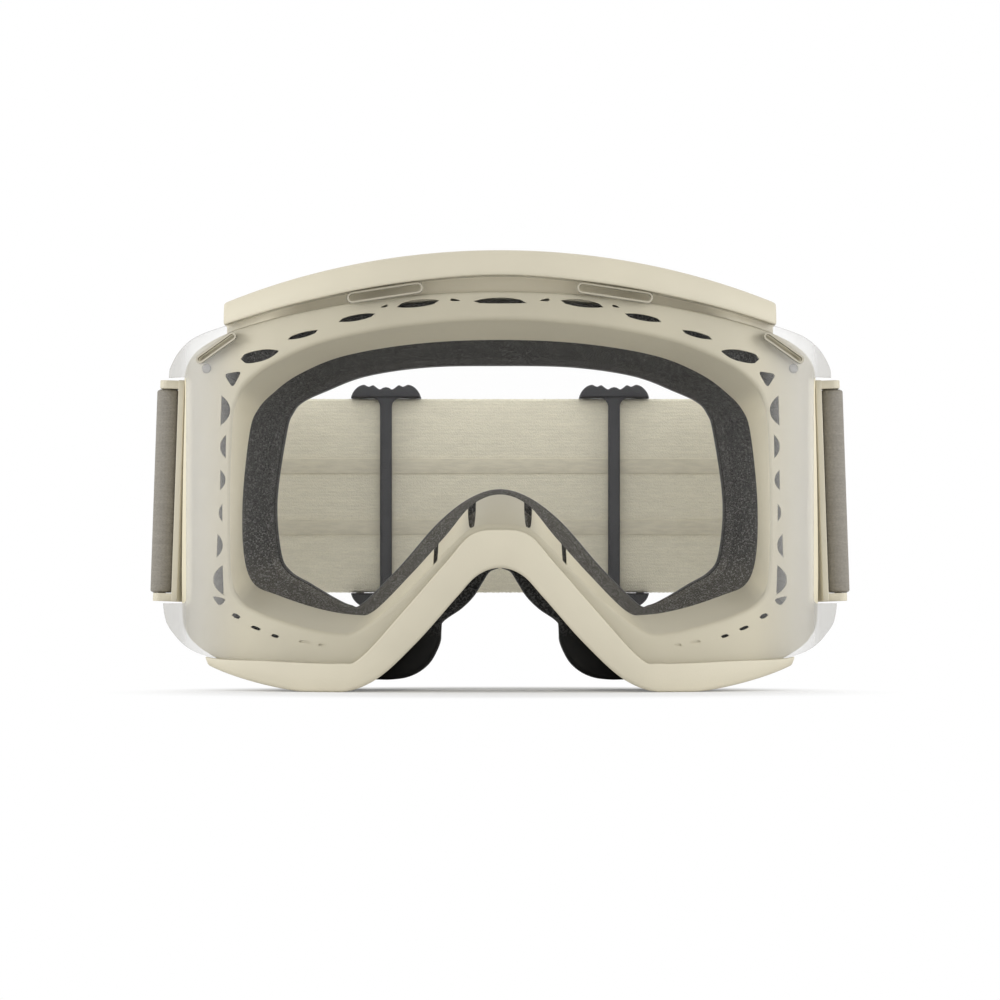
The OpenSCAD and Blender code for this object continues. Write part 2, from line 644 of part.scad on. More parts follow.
module grip_strip(z) {
    r = strap_bend_r - strap_t / 2 - glue - grip_t / 2;
    half = [for (a = bend_angles(grip_turn, 0)) [each turned(bend_at, r, a), a / 90]];
    color(silicone) place() web(concat(half, mirrored_path(half)), grip_t, z - grip_w / 2, z + grip_w / 2);
}
module grip_strip_upper() { grip_strip(grip_mid + grip_pitch / 2); }
module grip_strip_lower() { grip_strip(grip_mid - grip_pitch / 2); }

// A ribbed finger edge of the adjuster, seen from the front, rising from z = 0
module head_shape() {
    deck = head_h - rib_r / 2;
    translate([head_h - adjuster_w / 2, 0]) square([adjuster_w - 2 * head_h, deck]);
    intersection() {
        for (e = [-1, 1]) translate([e * (adjuster_w / 2 - head_h), 0]) circle(r = head_h);
        translate([-adjuster_w / 2, 0]) square([adjuster_w, head_h]);
    }
    for (k = [(1 - ribs) / 2:(ribs - 1) / 2]) translate([k * rib_pitch, head_h - rib_r])
        circle(r = rib_r);
}

// The centre bar, seen from the front, with its rounded roots in both heads
module centre_bar_shape() {
    h = strap_w + 2 * slide_gap;
    translate([-centre_bar_w / 2, -cut / 2]) square([centre_bar_w, h + cut]);
    for (z = [0, h]) difference() {
        translate([-centre_bar_w / 2 - root_r, z == 0 ? -cut / 2 : z - root_r])
            square([centre_bar_w + 2 * root_r, root_r + cut / 2]);
        for (e = [-1, 1]) translate([e * (centre_bar_w / 2 + root_r), z == 0 ? root_r : z - root_r])
            circle(r = root_r);
    }
}

module left_adjuster() {
    low = strap_z - slide_gap;
    high = strap_top + slide_gap;
    front = centre_bar_back - adjuster_bar_t;
    color(charcoal) place() translate([adjuster_x, 0, 0]) {
        translate([0, 0, high]) along_y(front, outer_bar_back) head_shape();
        translate([0, 0, low]) mirror([0, 0, 1]) along_y(front, outer_bar_back) head_shape();
        translate([0, 0, low]) along_y(front, centre_bar_back) centre_bar_shape();
        for (e = [-1, 1]) translate([e * outer_bar_x, outer_bar_y + adjuster_bar_t / 2, low - cut / 2])
            cylinder(d = adjuster_bar_t, h = high - low + cut);
    }
}
module right_adjuster() { mirror([1, 0, 0]) left_adjuster(); }

// The strap's end, folded round the adjuster's outer bar and sewn to itself
module left_strap_end() {
    at = [adjuster_x + outer_bar_x, outer_bar_y + adjuster_bar_t / 2];
    r = adjuster_bar_t / 2 + slide_gap / 2 + end_t / 2;
    path = concat([[at.x + end_l, end_line, 0]],
        [for (a = bend_angles(180, 360)) [each turned(at, r, a), 0]],
        [[at.x + end_l, back_y - end_t / 2, 0]]);
    color(taupe) place() web(path, end_t, strap_z + layer_gap, strap_top - layer_gap);
}
module right_strap_end() { mirror([1, 0, 0]) left_strap_end(); }

module lens() {
    color(clear) place() difference() {
        bent(0, lens_t) lens_outline();
        both_sides() {
            along_y(-cut, lens_r) for (slot = lens_slots) slot_shape(slot, slot_rim + slot_fit);
            translate([notch_x, -cut, strap_z - slide_gap - lip_t - notch_gap])
                cube([lens_half_w, lens_r, strap_w + 2 * (slide_gap + lip_t + notch_gap)]);
        }
    }
}

module lens_slot_rims() {
    color(bone) place() bent(-slot_rim_proud, lens_t + slot_rim_proud) both_sides()
        for (slot = lens_slots) difference() {
            slot_shape(slot, slot_rim);
            slot_shape(slot, 0);
        }
}

module lens_pegs() {
    color(clear) place() both_sides() bent(lens_t, plate_y + peg_reach) peg_shape(0);
}

frame_shell();
brow_bar();
lower_rim();
vent_foam_top();
vent_foam_left();
vent_foam_right();
vent_foam_lower_left();
vent_foam_lower_right();
vent_foam_nose();
face_foam_base();
face_foam_middle();
face_fleece();
nose_flap_left();
nose_flap_right();
left_outrigger();
right_outrigger();
head_strap();
grip_strip_upper();
grip_strip_lower();
left_adjuster();
right_adjuster();
left_strap_end();
right_strap_end();
lens();
lens_slot_rims();
lens_pegs();
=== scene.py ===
"""Mountain bike goggles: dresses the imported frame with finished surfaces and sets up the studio.

The outlines and depths repeat the part's own in millimetres, measured from the lens's foremost line,
and place() turns them into metres in the shared frame.
"""

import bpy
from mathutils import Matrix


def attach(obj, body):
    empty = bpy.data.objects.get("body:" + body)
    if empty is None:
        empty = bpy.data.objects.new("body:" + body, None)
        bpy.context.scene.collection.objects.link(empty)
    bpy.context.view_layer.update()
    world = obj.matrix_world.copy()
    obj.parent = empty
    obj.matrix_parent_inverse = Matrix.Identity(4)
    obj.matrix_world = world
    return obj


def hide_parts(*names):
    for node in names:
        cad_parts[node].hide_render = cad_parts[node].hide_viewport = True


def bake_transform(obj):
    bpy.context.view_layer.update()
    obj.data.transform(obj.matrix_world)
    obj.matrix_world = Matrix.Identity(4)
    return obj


bl_info = {
    "name": "Mountain Bike Goggles",
    "version": (1, 0, 0),
    "blender": (4, 5, 0),
    "location": "View3D > Sidebar > Goggles",
    "description": "Builds the goggles' moulded frame, lens, foam, strap and adjusters",
    "category": "Object",
}

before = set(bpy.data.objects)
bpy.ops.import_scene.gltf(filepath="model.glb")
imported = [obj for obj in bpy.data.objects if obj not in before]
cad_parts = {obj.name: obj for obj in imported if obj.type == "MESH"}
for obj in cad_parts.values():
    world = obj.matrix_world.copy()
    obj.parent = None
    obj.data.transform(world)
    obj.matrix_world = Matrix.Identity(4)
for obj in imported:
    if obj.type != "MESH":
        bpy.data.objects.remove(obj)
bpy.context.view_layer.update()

import math

import bmesh
import bpy
import numpy as np
from mathutils import Vector
from mathutils.geometry import tessellate_polygon

# Sizes shared with the CAD part, in millimetres
LENS_R, LENS_T, LENS_TOP, LENS_GAP = 105.0, 1.6, 99.7, 0.3
PLATE_Y, WALL, FRAME_DEPTH = 2.6, 1.6, 22.0
BROW_PROUD, BROW_DEPTH, BROW_H, BROW_R, BROW_HALF_W, WEB_FRONT = 1.5, 11.0, 6.0, 205.5, 67.2, 6.0
RIM_PROUD = 0.8
FACE_R = 95.0
FOAM_Y, MIDDLE_Y, FLEECE_Y, FACE_Y = 22.1, 34.2, 38.7, 40.7
FLAP_DEPTH = 14.0
FLAP_Y = FOAM_Y + 6.0
STRAP_W, STRAP_T, STRAP_Z, STRAP_BACK = 50.0, 1.7, 24.1, 108.0
STRAP_TOP, STRAP_MID = STRAP_Z + STRAP_W, STRAP_Z + STRAP_W / 2
STRAP_BEND_R, LAYER_GAP, LEAN = 30.0, 0.3, math.radians(2)
BAR_X, BAR_T, BAR_L, FOLD_GAP = 83.1, 1.7, 4.2, 0.15
GRIP_W, GRIP_T, GRIP_PITCH, GRIP_MID, GRIP_TURN, GLUE = 3.9, 0.3, 15.9, STRAP_MID - 0.3, 45.0, 0.1
ADJUSTER_X, ADJUSTER_BAR_T, OUTER_BAR_X, SLIDE_GAP = 29.6, 2.2, 6.9, 0.3
END_T, END_L = 1.3, 8.0
SLOT_RIM, SLOT_RIM_PROUD, SLOT_FIT = 0.5, 0.25, 0.05
PEG_R, PEG_REACH, PEG_GAP = 0.9, 1.2, 0.3
LIP_T, NOTCH_GAP = 2.0, 0.5
STRIP_SET_BACK, STRIP_GAP = 1.2, 0.3
# The lens's front lies this far before the middle of the shared frame
MID_Y = 56.8
# Places along the outlines: the last one, the strap bars' and the first one of the lower rims
LAST, OUTRIGGER_AT, RIM_START = 17, 7, 10

STRAP_LINE = STRAP_BACK + STRAP_T / 2
STRAP_OUTER = STRAP_BACK + STRAP_T
END_LINE = STRAP_OUTER + SLIDE_GAP + END_T / 2
OUTER_BAR_Y = END_LINE + END_T / 2 + SLIDE_GAP / 2
FOLD_R = BAR_T / 2 + FOLD_GAP + STRAP_T / 2
BEND_X, BEND_Y = BAR_X - FOLD_R - STRAP_BEND_R, STRAP_LINE - STRAP_BEND_R
OUTER_BEND_R = STRAP_BEND_R + STRAP_T + LAYER_GAP
RETURN_TURN = 11.0
HEAD_LOW, HEAD_HIGH = STRAP_Z - SLIDE_GAP, STRAP_TOP + SLIDE_GAP
# The wearer's sides, as the nodes are named, with the sign of x
SIDES = ((1, "left"), (-1, "right"))

# Sizes of the finish alone, in millimetres
OVERCUT, DIMPLE, SEAM, LAP = 0.7, 0.3, 0.15, 0.1
WEDGE_R, NOTCH_R, LENS_SWEEP, LENS_CUT = 1.2, 1.2, 56, (-8, 62)
BROW_RADII, BROW_END_R, BROW_END_STEPS = [0.5, 0.7, 1.6, 1.2, 0.8], 0.8, (0.05, 0.15, 0.3, 0.5, 0.8)
BROW_WAIST, BROW_SLOPE, WEB_SHORT, WEB_EASE_FROM, WEB_EASE_OVER = 0.46, 1.3, 0.6, 46, 12
RIM_RADII, RIM_END_R, RIM_END_STEPS = [0.45, 1.2, 1.0, 0.3, 0.2], 0.4, (0.05, 0.15, 0.3, 0.6)
RIM_PITCH, RIM_SLOPE = 12.0, 0.5
RING_RADII, VENT_FOAM_R = [0.18, 0.18, 0.1, 0.1], 0.8
FLAP_RADII, FLAP_END_R, FLAP_L, FLAP_SECTIONS = [0.3, 1.5, 2.6, 2.6, 1.5, 0.3], 1.2, 30, 81
BAR_BEHIND, GRIP_SUNK, GRIP_EDGE_R, END_NARROW = 7.8, 0.03, 0.14, 0.3
END_GAP, END_TURN, STITCH_ROWS, STITCH_FROM_EDGE, STITCH_PROUD = 0.12, 345, (4.9, 7.0), 2, 0.08
ROD_LAP, HEAD_SET_BACK, LOOP_FROM_EDGE = 0.5, 0.5, 0.25
# Weft loops: length and radius in metres, and how uneven they are
SELVEDGE_LOOP = (0.0021, 0.0005, 0.12)

# Outlines of the front view's right half, from the brow's middle round to the bridge of the nose
LENS_EDGE = np.array([
    [0, 99.7], [25, 97.8], [48, 93.8], [65, 89.6], [75.6, 86.2], [80.9, 80.6], [82, 74], [82.8, 49],
    [83.5, 22], [80.2, 13.2], [72, 8.3], [56, 7.4], [39, 6.9], [33.4, 8.3], [23.5, 19], [13, 31],
    [6.8, 37.7], [0, 38.9]])
PLATE_OUTER = LENS_EDGE + np.array([
    [0, -3.6], [0, -2.8], [-1, -1.8], [-1.2, -1.3], [-1.8, -2.3], [-3.3, -1.8], [-4.2, -2.5],
    [-4.4, 0], [-4.9, 1], [-2.9, 0.7], [-1.6, 0], [-0.5, -5.5], [2, -6.9], [-2.6, -5.3],
    [-2.9, -7], [-2.2, -8], [-1.3, -9.2], [0, -8.6]])
PLATE_INNER = LENS_EDGE + np.array([
    [0, -10.5], [-3, -9.9], [-6, -9.4], [-10, -10.2], [-14.3, -11], [-16.7, -10.1], [-16.9, -10],
    [-17.2, -1], [-18.2, 6], [-17.2, 8.8], [-14.5, 10.3], [-8, 8.2], [0, 7.1], [0.1, 6.9],
    [0, 4.2], [0.2, 2.6], [0, 1.3], [0, 1.1]])
OPENING = LENS_EDGE + np.array([
    [0, -14.5], [-5, -13.4], [-10, -12.1], [-15.8, -12.1], [-20, -13], [-21.1, -11.6],
    [-20.1, -10.7], [-19.1, -2], [-20.1, 11.5], [-19.4, 13], [-17.5, 15], [-11.5, 12.7],
    [-3.5, 11.7], [-2.8, 11.3], [-1.7, 9.3], [0.4, 6.6], [0, 7.6], [0, 9]])
FOAM_INNER = LENS_EDGE + np.array([
    [0, -20.2], [-7, -18.6], [-15, -16.6], [-22, -15.9], [-26.8, -15], [-29.7, -12],
    [-29.2, -10], [-27.5, -2], [-29.2, 12], [-28.4, 16.2], [-25.5, 17.9], [-15, 15.5],
    [-2, 14.1], [0.8, 13.1], [1.5, 11.4], [2.5, 10.2], [0.7, 9.6], [0, 10.6]])
FOAM_OUTER = LENS_EDGE + np.array([
    [0, -5.4], [-1, -4.8], [-3, -4.5], [-6.5, -5.4], [-10.1, -7], [-11.7, -6.6], [-11.2, -7],
    [-11.2, -1], [-12.5, 5], [-11.7, 3.3], [-9.5, -0.8], [-3, -6.2], [1, -7.5], [-1.9, -5.7],
    [-1.5, -5.5], [-0.4, -7], [-0.5, -7.1], [0, -5.7]])
RIM_OUTER = LENS_EDGE + np.array([[0, 0]] * RIM_START + [
    [-0.8, -2.1], [0, -6], [2, -7.2], [-2.9, -5.7], [-3.2, -7.4], [-2.4, -8.5], [-1.4, -9.7],
    [0, -9.1]])
FLAP_EDGE = np.array([
    [0.2, 29.9], [2.5, 29], [4.2, 26.5], [6.4, 23.0], [9.5, 19.9], [14.3, 16.3], [14.5, 12.3],
    [15.7, 9.1], [17.4, 6.4], [20, 4.3], [23.2, 3], [27, 2.5]])
FLAP_ROOT = (13.0, 16.8)

# Vents of the front plate, right half: x, z, length, bulge on each side of the long axis, turn
BROW_VENTS = [
    (19.7, 93.1, 10.4, 1.0, 0.8, -6), (34.4, 90.0, 9.1, 0.75, 0.75, -9),
    (47.6, 86.2, 7.8, 0.6, 0.7, -13)]
ROUND_VENT = (58.4, 81.6, 9.6, 1.2, 1.6, -10)
TOP_VENT = (0, 93.4, 12.8, 1.1, 0.35, 0)
SIDE_VENTS = [
    (68.2, 68.4, 7.4, -2.4, 92), (66.9, 59.6, 5.9, 1.5, 91), (68.4, 51.4, 5.0, -1.4, 91),
    (67.8, 43.4, 4.5, 0.95, 90), (69.2, 35.4, 5.8, -1.5, 92), (67.6, 27.0, 7.4, 2.6, 88)]
CHEEK_VENTS = [
    (64.3, 18.2, 2.3, 0.55, 0.55, 24), (59.3, 15.3, 2.6, 0.4, 0.4, 20),
    (54.5, 13.4, 2.0, 0.4, 0.4, 16)]
CHEEK_DIMPLES = [(47.1, 12, 3, 0.3, 0.3, 8), (42.9, 11.3, 1.8, 0.3, 0.3, 5)]
WEDGE_VENTS = [
    [(9, 93.7), (12, 93.6), (11.8, 94.5)], [(26.8, 92.4), (29.2, 92.2), (27, 93.2)],
    [(62.8, 77.9), (67.5, 77.3), (65.2, 73.7)], [(66.6, 22.3), (70.6, 23.2), (68.6, 20.4)]]
# Nose slits: x, half width, low and high end; lens slots: both ends and width
NOSE_SLITS = [(6.8, 0.95, 39.4, 47.6), (15.5, 0.55, 29.0, 39.4)]
TOP_SLOT_STEP, TOP_SLOT_L, TOP_SLOT_W = 0.6, 10.0, 5.0
LENS_SLOTS = [((18.9, 96.9), (36.2, 94.6), 1.7), ((64.7, 86.5), (73.8, 80.7), 1.1)]
PEG_AT = (71.9, 78.8)
# Right half of an adjuster's ribbed head, from its middle out: three ribs and the rounded shoulder
HEAD_EDGE = np.array([
    (0, 2.85), (0.8, 2.65), (1.55, 2.25), (2.4, 2.7), (3.2, 3.3), (3.8, 3.2), (4.35, 2.95),
    (5.0, 3.15), (5.75, 3.45), (7.0, 3.05), (8.1, 2.1), (8.8, 1.0), (9.05, 0)])
CENTRE_BAR_W, ROOT_R = 3.1, 2.2


# Curves and depths


def place(point):
    """A point in millimetres from the lens's front, as metres in the shared frame."""
    return (point[0] / 1000, (point[1] - MID_Y) / 1000, point[2] / 1000)


def spline(a, b, c, d, t):
    """The point of a smooth curve at a share of the way from b to c."""
    return b + (c - a) * t / 2 + (a - 2.5 * b + 2 * c - d / 2) * t**2 + (1.5 * b - a / 2 - 1.5 * c + d / 2) * t**3


def curve(points, s):
    """The smooth curve through a right half's points, mirrored past both ends, no lower than the ground."""
    i = min(int(s), LAST - 1)
    flip = np.array([-1.0, 1.0])
    before = points[1] * flip if i == 0 else points[i - 1]
    after = points[LAST - 1] * flip if i + 2 > LAST else points[i + 2]
    p = spline(before, points[i], points[i + 1], after, s - i)
    return np.array([p[0], max(p[1], 0.0)])


def open_curve(points, s):
    """A smooth curve through points, without going past its ends."""
    last = len(points) - 1
    i = min(int(s), last - 1)
    return spline(points[max(i - 1, 0)], points[i], points[i + 1], points[min(i + 2, last)], s - i)


def places(start, end, steps):
    """Places along an outline, a number of steps to each of its points."""
    return np.linspace(start, end, max(2, round((end - start) * steps) + 1))


def toward(a, b, d):
    gap = np.asarray(b, float) - np.asarray(a, float)
    return np.asarray(a, float) + gap * d / np.linalg.norm(gap)


def mix(a, b, t):
    return np.asarray(a, float) * (1 - t) + np.asarray(b, float) * t


def clamped(t):
    return min(max(t, 0), 1)


def ease(t):
    """A share that starts and ends gently."""
    return t * t * (3 - 2 * t)


def circle(x, z, r, steps=24):
    return [np.array([x + r * math.cos(t), z + r * math.sin(t)])
            for t in np.linspace(0, 2 * math.pi, steps, endpoint=False)]


def set_at(x, z, angle, points):
    """Flat points turned by an angle and set round a middle."""
    along = np.array([math.cos(angle), math.sin(angle)])
    up = np.array([-along[1], along[0]])
    return [np.array([x, z]) + along * u + up * v for u, v in points]


def straight(p, y):
    """An outline point at a plain distance behind the lens's front."""
    return np.array([p[0], y, p[1]])


def at_front(p, depth):
    """An outline point at a depth inside the lens's cylinder."""
    return np.array([p[0], LENS_R - math.sqrt((LENS_R - depth) ** 2 - p[0] ** 2), p[1]])


def at_face(p, depth):
    """An outline point at a depth on the face's curve."""
    return np.array([p[0], depth + FACE_R - math.sqrt(FACE_R**2 - p[0] ** 2), p[1]])


def flipped(points):
    """Points carried over to the other side."""
    return [np.array([-p[0], *p[1:]]) for p in points]


def rounded(corners, radii, steps=4):
    """A closed section with each corner turned on a small curve; a radius of 0 keeps the point."""
    out = []
    for i, (corner, r) in enumerate(zip(corners, radii)):
        if r == 0:
            out.append(corner)
            continue
        start, end = (toward(corner, other, min(r, 0.49 * np.linalg.norm(other - corner)))
                      for other in (corners[i - 1], corners[(i + 1) % len(corners)]))
        out += [(1 - t) ** 2 * start + 2 * t * (1 - t) * corner + t**2 * end for t in np.linspace(0, 1, steps + 1)]
    return out


def drawn_in(section, amount):
    """A section shrunk towards its middle, to round a loft's end."""
    middle = sum(section) / len(section)
    return [toward(p, middle, min(amount, 0.95 * np.linalg.norm(p - middle))) for p in section]


def whole_ring(half):
    """Right half sections carried round the left half, as a closed ring."""
    return half + [flipped(section) for section in half[-2:0:-1]]


def over_bridge(half):
    """Right half sections that end on the nose, carried over it to the left half."""
    return half + [flipped(section) for section in half[-2::-1]]


def over_brow(half):
    """Right half sections that start at the brow's middle, carried over it to the left half."""
    return [flipped(section) for section in half[:0:-1]] + half


# Meshes


def loft(sections, ring=False):
    """Vertices and faces of a loft, closed in a ring or capped at both ends."""
    n, m = len(sections), len(sections[0])
    faces = []
    for i in range(n if ring else n - 1):
        for j in range(m):
            faces.append((i * m + j, i * m + (j + 1) % m, (i + 1) % n * m + (j + 1) % m, (i + 1) % n * m + j))
    if not ring:
        faces.append(tuple(range(m - 1, -1, -1)))
        faces.append(tuple((n - 1) * m + j for j in range(m)))
    return [p for section in sections for p in section], faces


def outward(vertices, faces, inside_out=False):
    """A closed skin with its faces pointing outwards, or inwards for the wall of a hollow."""
    fans = np.array([(f[0], f[k], f[k + 1]) for f in faces for k in range(1, len(f) - 1)])
    a, b, c = np.array(vertices, float)[fans].swapaxes(0, 1)
    if ((a * np.cross(b, c)).sum() < 0) != inside_out:
        faces = [f[::-1] for f in faces]
    return vertices, faces


def skin(sections, ring=False, inside_out=False):
    """A loft with its faces pointing outwards, or inwards for the wall of a hollow."""
    return outward(*loft(sections, ring), inside_out)


def joined(*skins):
    """Several skins as one set of vertices and faces."""
    vertices, faces = [], []
    for some, more in skins:
        base = len(vertices)
        vertices += list(some)
        faces += [tuple(i + base for i in f) for f in more]
    return vertices, faces


def prism(outline, near, far, locate):
    """A closed prism of an outline between two depths, set in space by locate(point, depth)."""
    return skin([[locate(p, depth) for p in outline] for depth in (near, far)])


def new_piece(name, vertices, faces, materials=()):
    """A mesh object at the origin from a skin in millimetres."""
    mesh = bpy.data.meshes.new(name)
    mesh.from_pydata([place(p) for p in vertices], [], faces)
    mesh.validate()
    for material in materials:
        mesh.materials.append(material)
    return linked(name, mesh)


def linked(name, data):
    """A new object in the scene."""
    piece = bpy.data.objects.new(name, data)
    bpy.context.scene.collection.objects.link(piece)
    return piece


def plain_mesh(piece):
    """Applies a piece's modifiers and leaves it a plain mesh."""
    bpy.context.view_layer.update()
    depsgraph = bpy.context.evaluated_depsgraph_get()
    mesh = bpy.data.meshes.new_from_object(
        piece.evaluated_get(depsgraph), preserve_all_data_layers=True, depsgraph=depsgraph)
    mesh.name = piece.name
    piece.modifiers.clear()
    old, piece.data = piece.data, mesh
    bpy.data.meshes.remove(old)
    return piece


def carve(piece, skins, operation="DIFFERENCE"):
    """Cuts skins out of a piece, or keeps what lies inside them."""
    cutter = new_piece("cutter", *joined(*skins))
    tool = piece.modifiers.new("cut", "BOOLEAN")
    tool.operation, tool.solver, tool.object = operation, "EXACT", cutter
    plain_mesh(piece)
    bpy.data.meshes.remove(cutter.data)
    return piece


def crease(piece, angle=35):
    """Keeps smooth shading, with edges sharper than an angle left sharp."""
    mesh = piece.data
    mesh.polygons.foreach_set("use_smooth", [True] * len(mesh.polygons))
    mesh.set_sharp_from_angle(angle=math.radians(angle))
    return piece


def dress(piece, node, body):
    """Stands a finished piece in for a CAD node and lets it ride on that node's body."""
    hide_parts(node)
    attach(piece, body)
    return piece


def finished(name, surface, material, node, body, angle=35):
    """A finished piece made from one skin in one material."""
    return dress(crease(new_piece(name, *surface, materials=[material]), angle), node, body)


def web_uv(piece, section_uvs):
    """A UV map in metres for a loft of webbing, from the UV of each section point."""
    uvs = [uv for section in section_uvs for uv in section]
    layer = piece.data.uv_layers.new(name="web")
    for loop, corner in zip(piece.data.loops, layer.data):
        corner.uv = uvs[loop.vertex_index]


# Finishes

# Grain of the mouldings and the weave, and the reach of the lens's painted reflection at its sides and border, in
# metres; the warm tint of the light painted on the foam where it faces up
MOULD_GRAIN, WARP_RIB, WEFT_PICK = 0.00035, 0.0009, 0.0006
SIDE_REFLECTION_FROM_TO, BORDER_REFLECTION_FROM_TO = (0.0605, 0.078), (0.0765, 0.0795)
TOP_LIGHT_TINT = (1.06, 1, 0.86, 1)


class Field:
    """A number that varies over a surface, held as a node socket; arithmetic adds Math nodes."""

    def __init__(self, finish, socket):
        self.finish, self.socket = finish, socket

    def math(self, operation, *numbers):
        node = self.finish.add("ShaderNodeMath", {"operation": operation}, dict(enumerate(numbers)))
        return Field(self.finish, node.outputs[0])

    def __add__(self, other):
        return self.math("ADD", self, other)

    __radd__ = __add__

    def __sub__(self, other):
        return self.math("SUBTRACT", self, other)

    def __rsub__(self, other):
        return self.math("SUBTRACT", other, self)

    def __mul__(self, other):
        return self.math("MULTIPLY", self, other)

    __rmul__ = __mul__

    def __pow__(self, other):
        return self.math("POWER", self, other)

    def __rpow__(self, other):
        return self.math("POWER", other, self)

    def sine(self):
        return self.math("SINE", self)

    def absolute(self):
        return self.math("ABSOLUTE", self)

    def between(self, low, high):
        """0 below low, 1 above high, smooth in between."""
        node = self.finish.add("ShaderNodeMapRange", {"interpolation_type": "SMOOTHSTEP"},
                               {"Value": self, "From Min": low, "From Max": high})
        return Field(self.finish, node.outputs[0])


class Nodes:
    """A node tree, built up one node at a time."""

    def __init__(self, tree):
        self.tree = tree
        tree.nodes.clear()

    def add(self, kind, settings=None, inputs=None):
        """Adds a node: its settings first, a ramp's stops among them, then its sockets' values or links."""
        node = self.tree.nodes.new(kind)
        for key, value in (settings or {}).items():
            if key == "stops":
                ramp = node.color_ramp
                while len(ramp.elements) > 1:
                    ramp.elements.remove(ramp.elements[0])
                ramp.elements[0].position, ramp.elements[0].color = value[0]
                for position, colour in value[1:]:
                    ramp.elements.new(position).color = colour
            else:
                setattr(node, key, value)
        for key, value in (inputs or {}).items():
            self.feed(node.inputs[key], value)
        return node

    def feed(self, socket, value):
        if isinstance(value, Field):
            value = value.socket
        if isinstance(value, bpy.types.NodeSocket):
            self.tree.links.new(value, socket)
        else:
            socket.default_value = value

    def field(self, node, output):
        return Field(self, node.outputs[output])


class Finish(Nodes):
    """A material built up from its nodes around one Principled shader."""

    def __init__(self, name):
        self.material = bpy.data.materials.new(name)
        self.material.use_nodes = True
        super().__init__(self.material.node_tree)
        self.shader = self.add("ShaderNodeBsdfPrincipled")
        self.out = self.add("ShaderNodeOutputMaterial", None, {"Surface": self.shader.outputs[0]})

    def set(self, **values):
        """Sets the shader's sockets, with a socket's spaces written as underscores."""
        for key, value in values.items():
            self.feed(self.shader.inputs[key.replace("_", " ")], value)
        return self.material

    def object_point(self, stretch=(1, 1, 1)):
        point = self.add("ShaderNodeTexCoord").outputs["Object"]
        if stretch == (1, 1, 1):
            return point
        return self.add("ShaderNodeMapping", None, {"Vector": point, "Scale": stretch}).outputs[0]

    def split(self, vector):
        node = self.add("ShaderNodeSeparateXYZ", None, {0: vector})
        return [Field(self, node.outputs[i]) for i in range(3)]

    def joined(self, x, y, z):
        return self.add("ShaderNodeCombineXYZ", None, {0: x, 1: y, 2: z}).outputs[0]

    def noise(self, vector, scale, detail=2.0, roughness=0.5):
        return self.field(self.add("ShaderNodeTexNoise", None, {
            "Vector": vector, "Scale": scale, "Detail": detail, "Roughness": roughness}), 0)

    def cells(self, vector, scale):
        """The distance to the nearest of many scattered points, and a chance number of that point's own."""
        node = self.add("ShaderNodeTexVoronoi", None, {"Vector": vector, "Scale": scale})
        return self.field(node, "Distance"), self.split(node.outputs["Color"])[0]

    def blend(self, factor, low, high):
        """A colour between two, by a field."""
        return self.add("ShaderNodeMix", {"data_type": "RGBA"}, {0: factor, 6: low, 7: high}).outputs[2]

    def tone(self, field, colour, dark, light, low=0.3, high=0.7):
        """A colour that goes from a darker to a lighter shade as a field rises."""
        return self.blend(field.between(low, high), shade(colour, dark), shade(colour, light))

    def relief(self, height, distance):
        """A bump of a real height in metres."""
        return self.add("ShaderNodeBump", None, {"Height": height, "Distance": distance, "Strength": 1.0}).outputs[0]


def shade(colour, factor):
    """A colour made lighter or darker, as a socket value."""
    return (*[min(1.0, c * factor) for c in colour[:3]], 1.0)


def moulded(name, colour, roughness=0.5, variety=0.05, specular=0.4, painted_side_light=1.0):
    """Moulded plastic with a fine eroded texture and slow changes of tone.

    Above 1, the last setting paints light onto the thin walls that face sideways: they take a lighter shade, as if
    light shone through the thin plastic.
    """
    finish = Finish(name)
    coordinates = finish.add("ShaderNodeTexCoord")
    point = coordinates.outputs["Object"]
    slow = finish.noise(point, 28.0, 3.0)
    fine = finish.noise(point, 1 / MOULD_GRAIN)
    tone = finish.tone(slow, colour, 1 - variety, 1 + variety)
    # Painted light: walls that face sideways take a lighter shade of the colour, standing in for light through the
    # thin plastic.
    if painted_side_light > 1:
        sideways, _, _ = finish.split(coordinates.outputs["Normal"])
        tone = finish.blend(sideways.absolute().between(0.5, 0.97), tone, shade(colour, painted_side_light))
    return finish.set(
        Base_Color=tone,
        Roughness=roughness + (slow - 0.5) * 0.12 + (fine - 0.5) * 0.1,
        Specular_IOR_Level=specular,
        Normal=finish.relief(fine + 0.6 * finish.noise(point, 0.35 / MOULD_GRAIN), 0.00002))


def clear_lens(name, tint, veil, slant_reflection, side_reflection=0.0, border_reflection=0.0):
    """Clear moulded plastic: nearly nothing seen straight on, with a pale veil at a slant and at the sides, which is a
    painted reflection of the white studio.
    """
    finish = Finish(name)
    slant = finish.field(finish.add("ShaderNodeLayerWeight", None, {"Blend": 0.5}), "Facing")
    x, _, _ = finish.split(finish.object_point())
    out = x.absolute()
    # Painted reflection: a pale veil that grows where the lens turns away at its sides and near its border.
    painted_reflection = out.between(*SIDE_REFLECTION_FROM_TO) * side_reflection + out.between(*BORDER_REFLECTION_FROM_TO) * border_reflection
    return finish.set(
        Base_Color=(*tint, 1.0), Roughness=0.16, Specular_IOR_Level=0.5,
        Alpha=veil + (slant ** 2.4) * slant_reflection + painted_reflection)


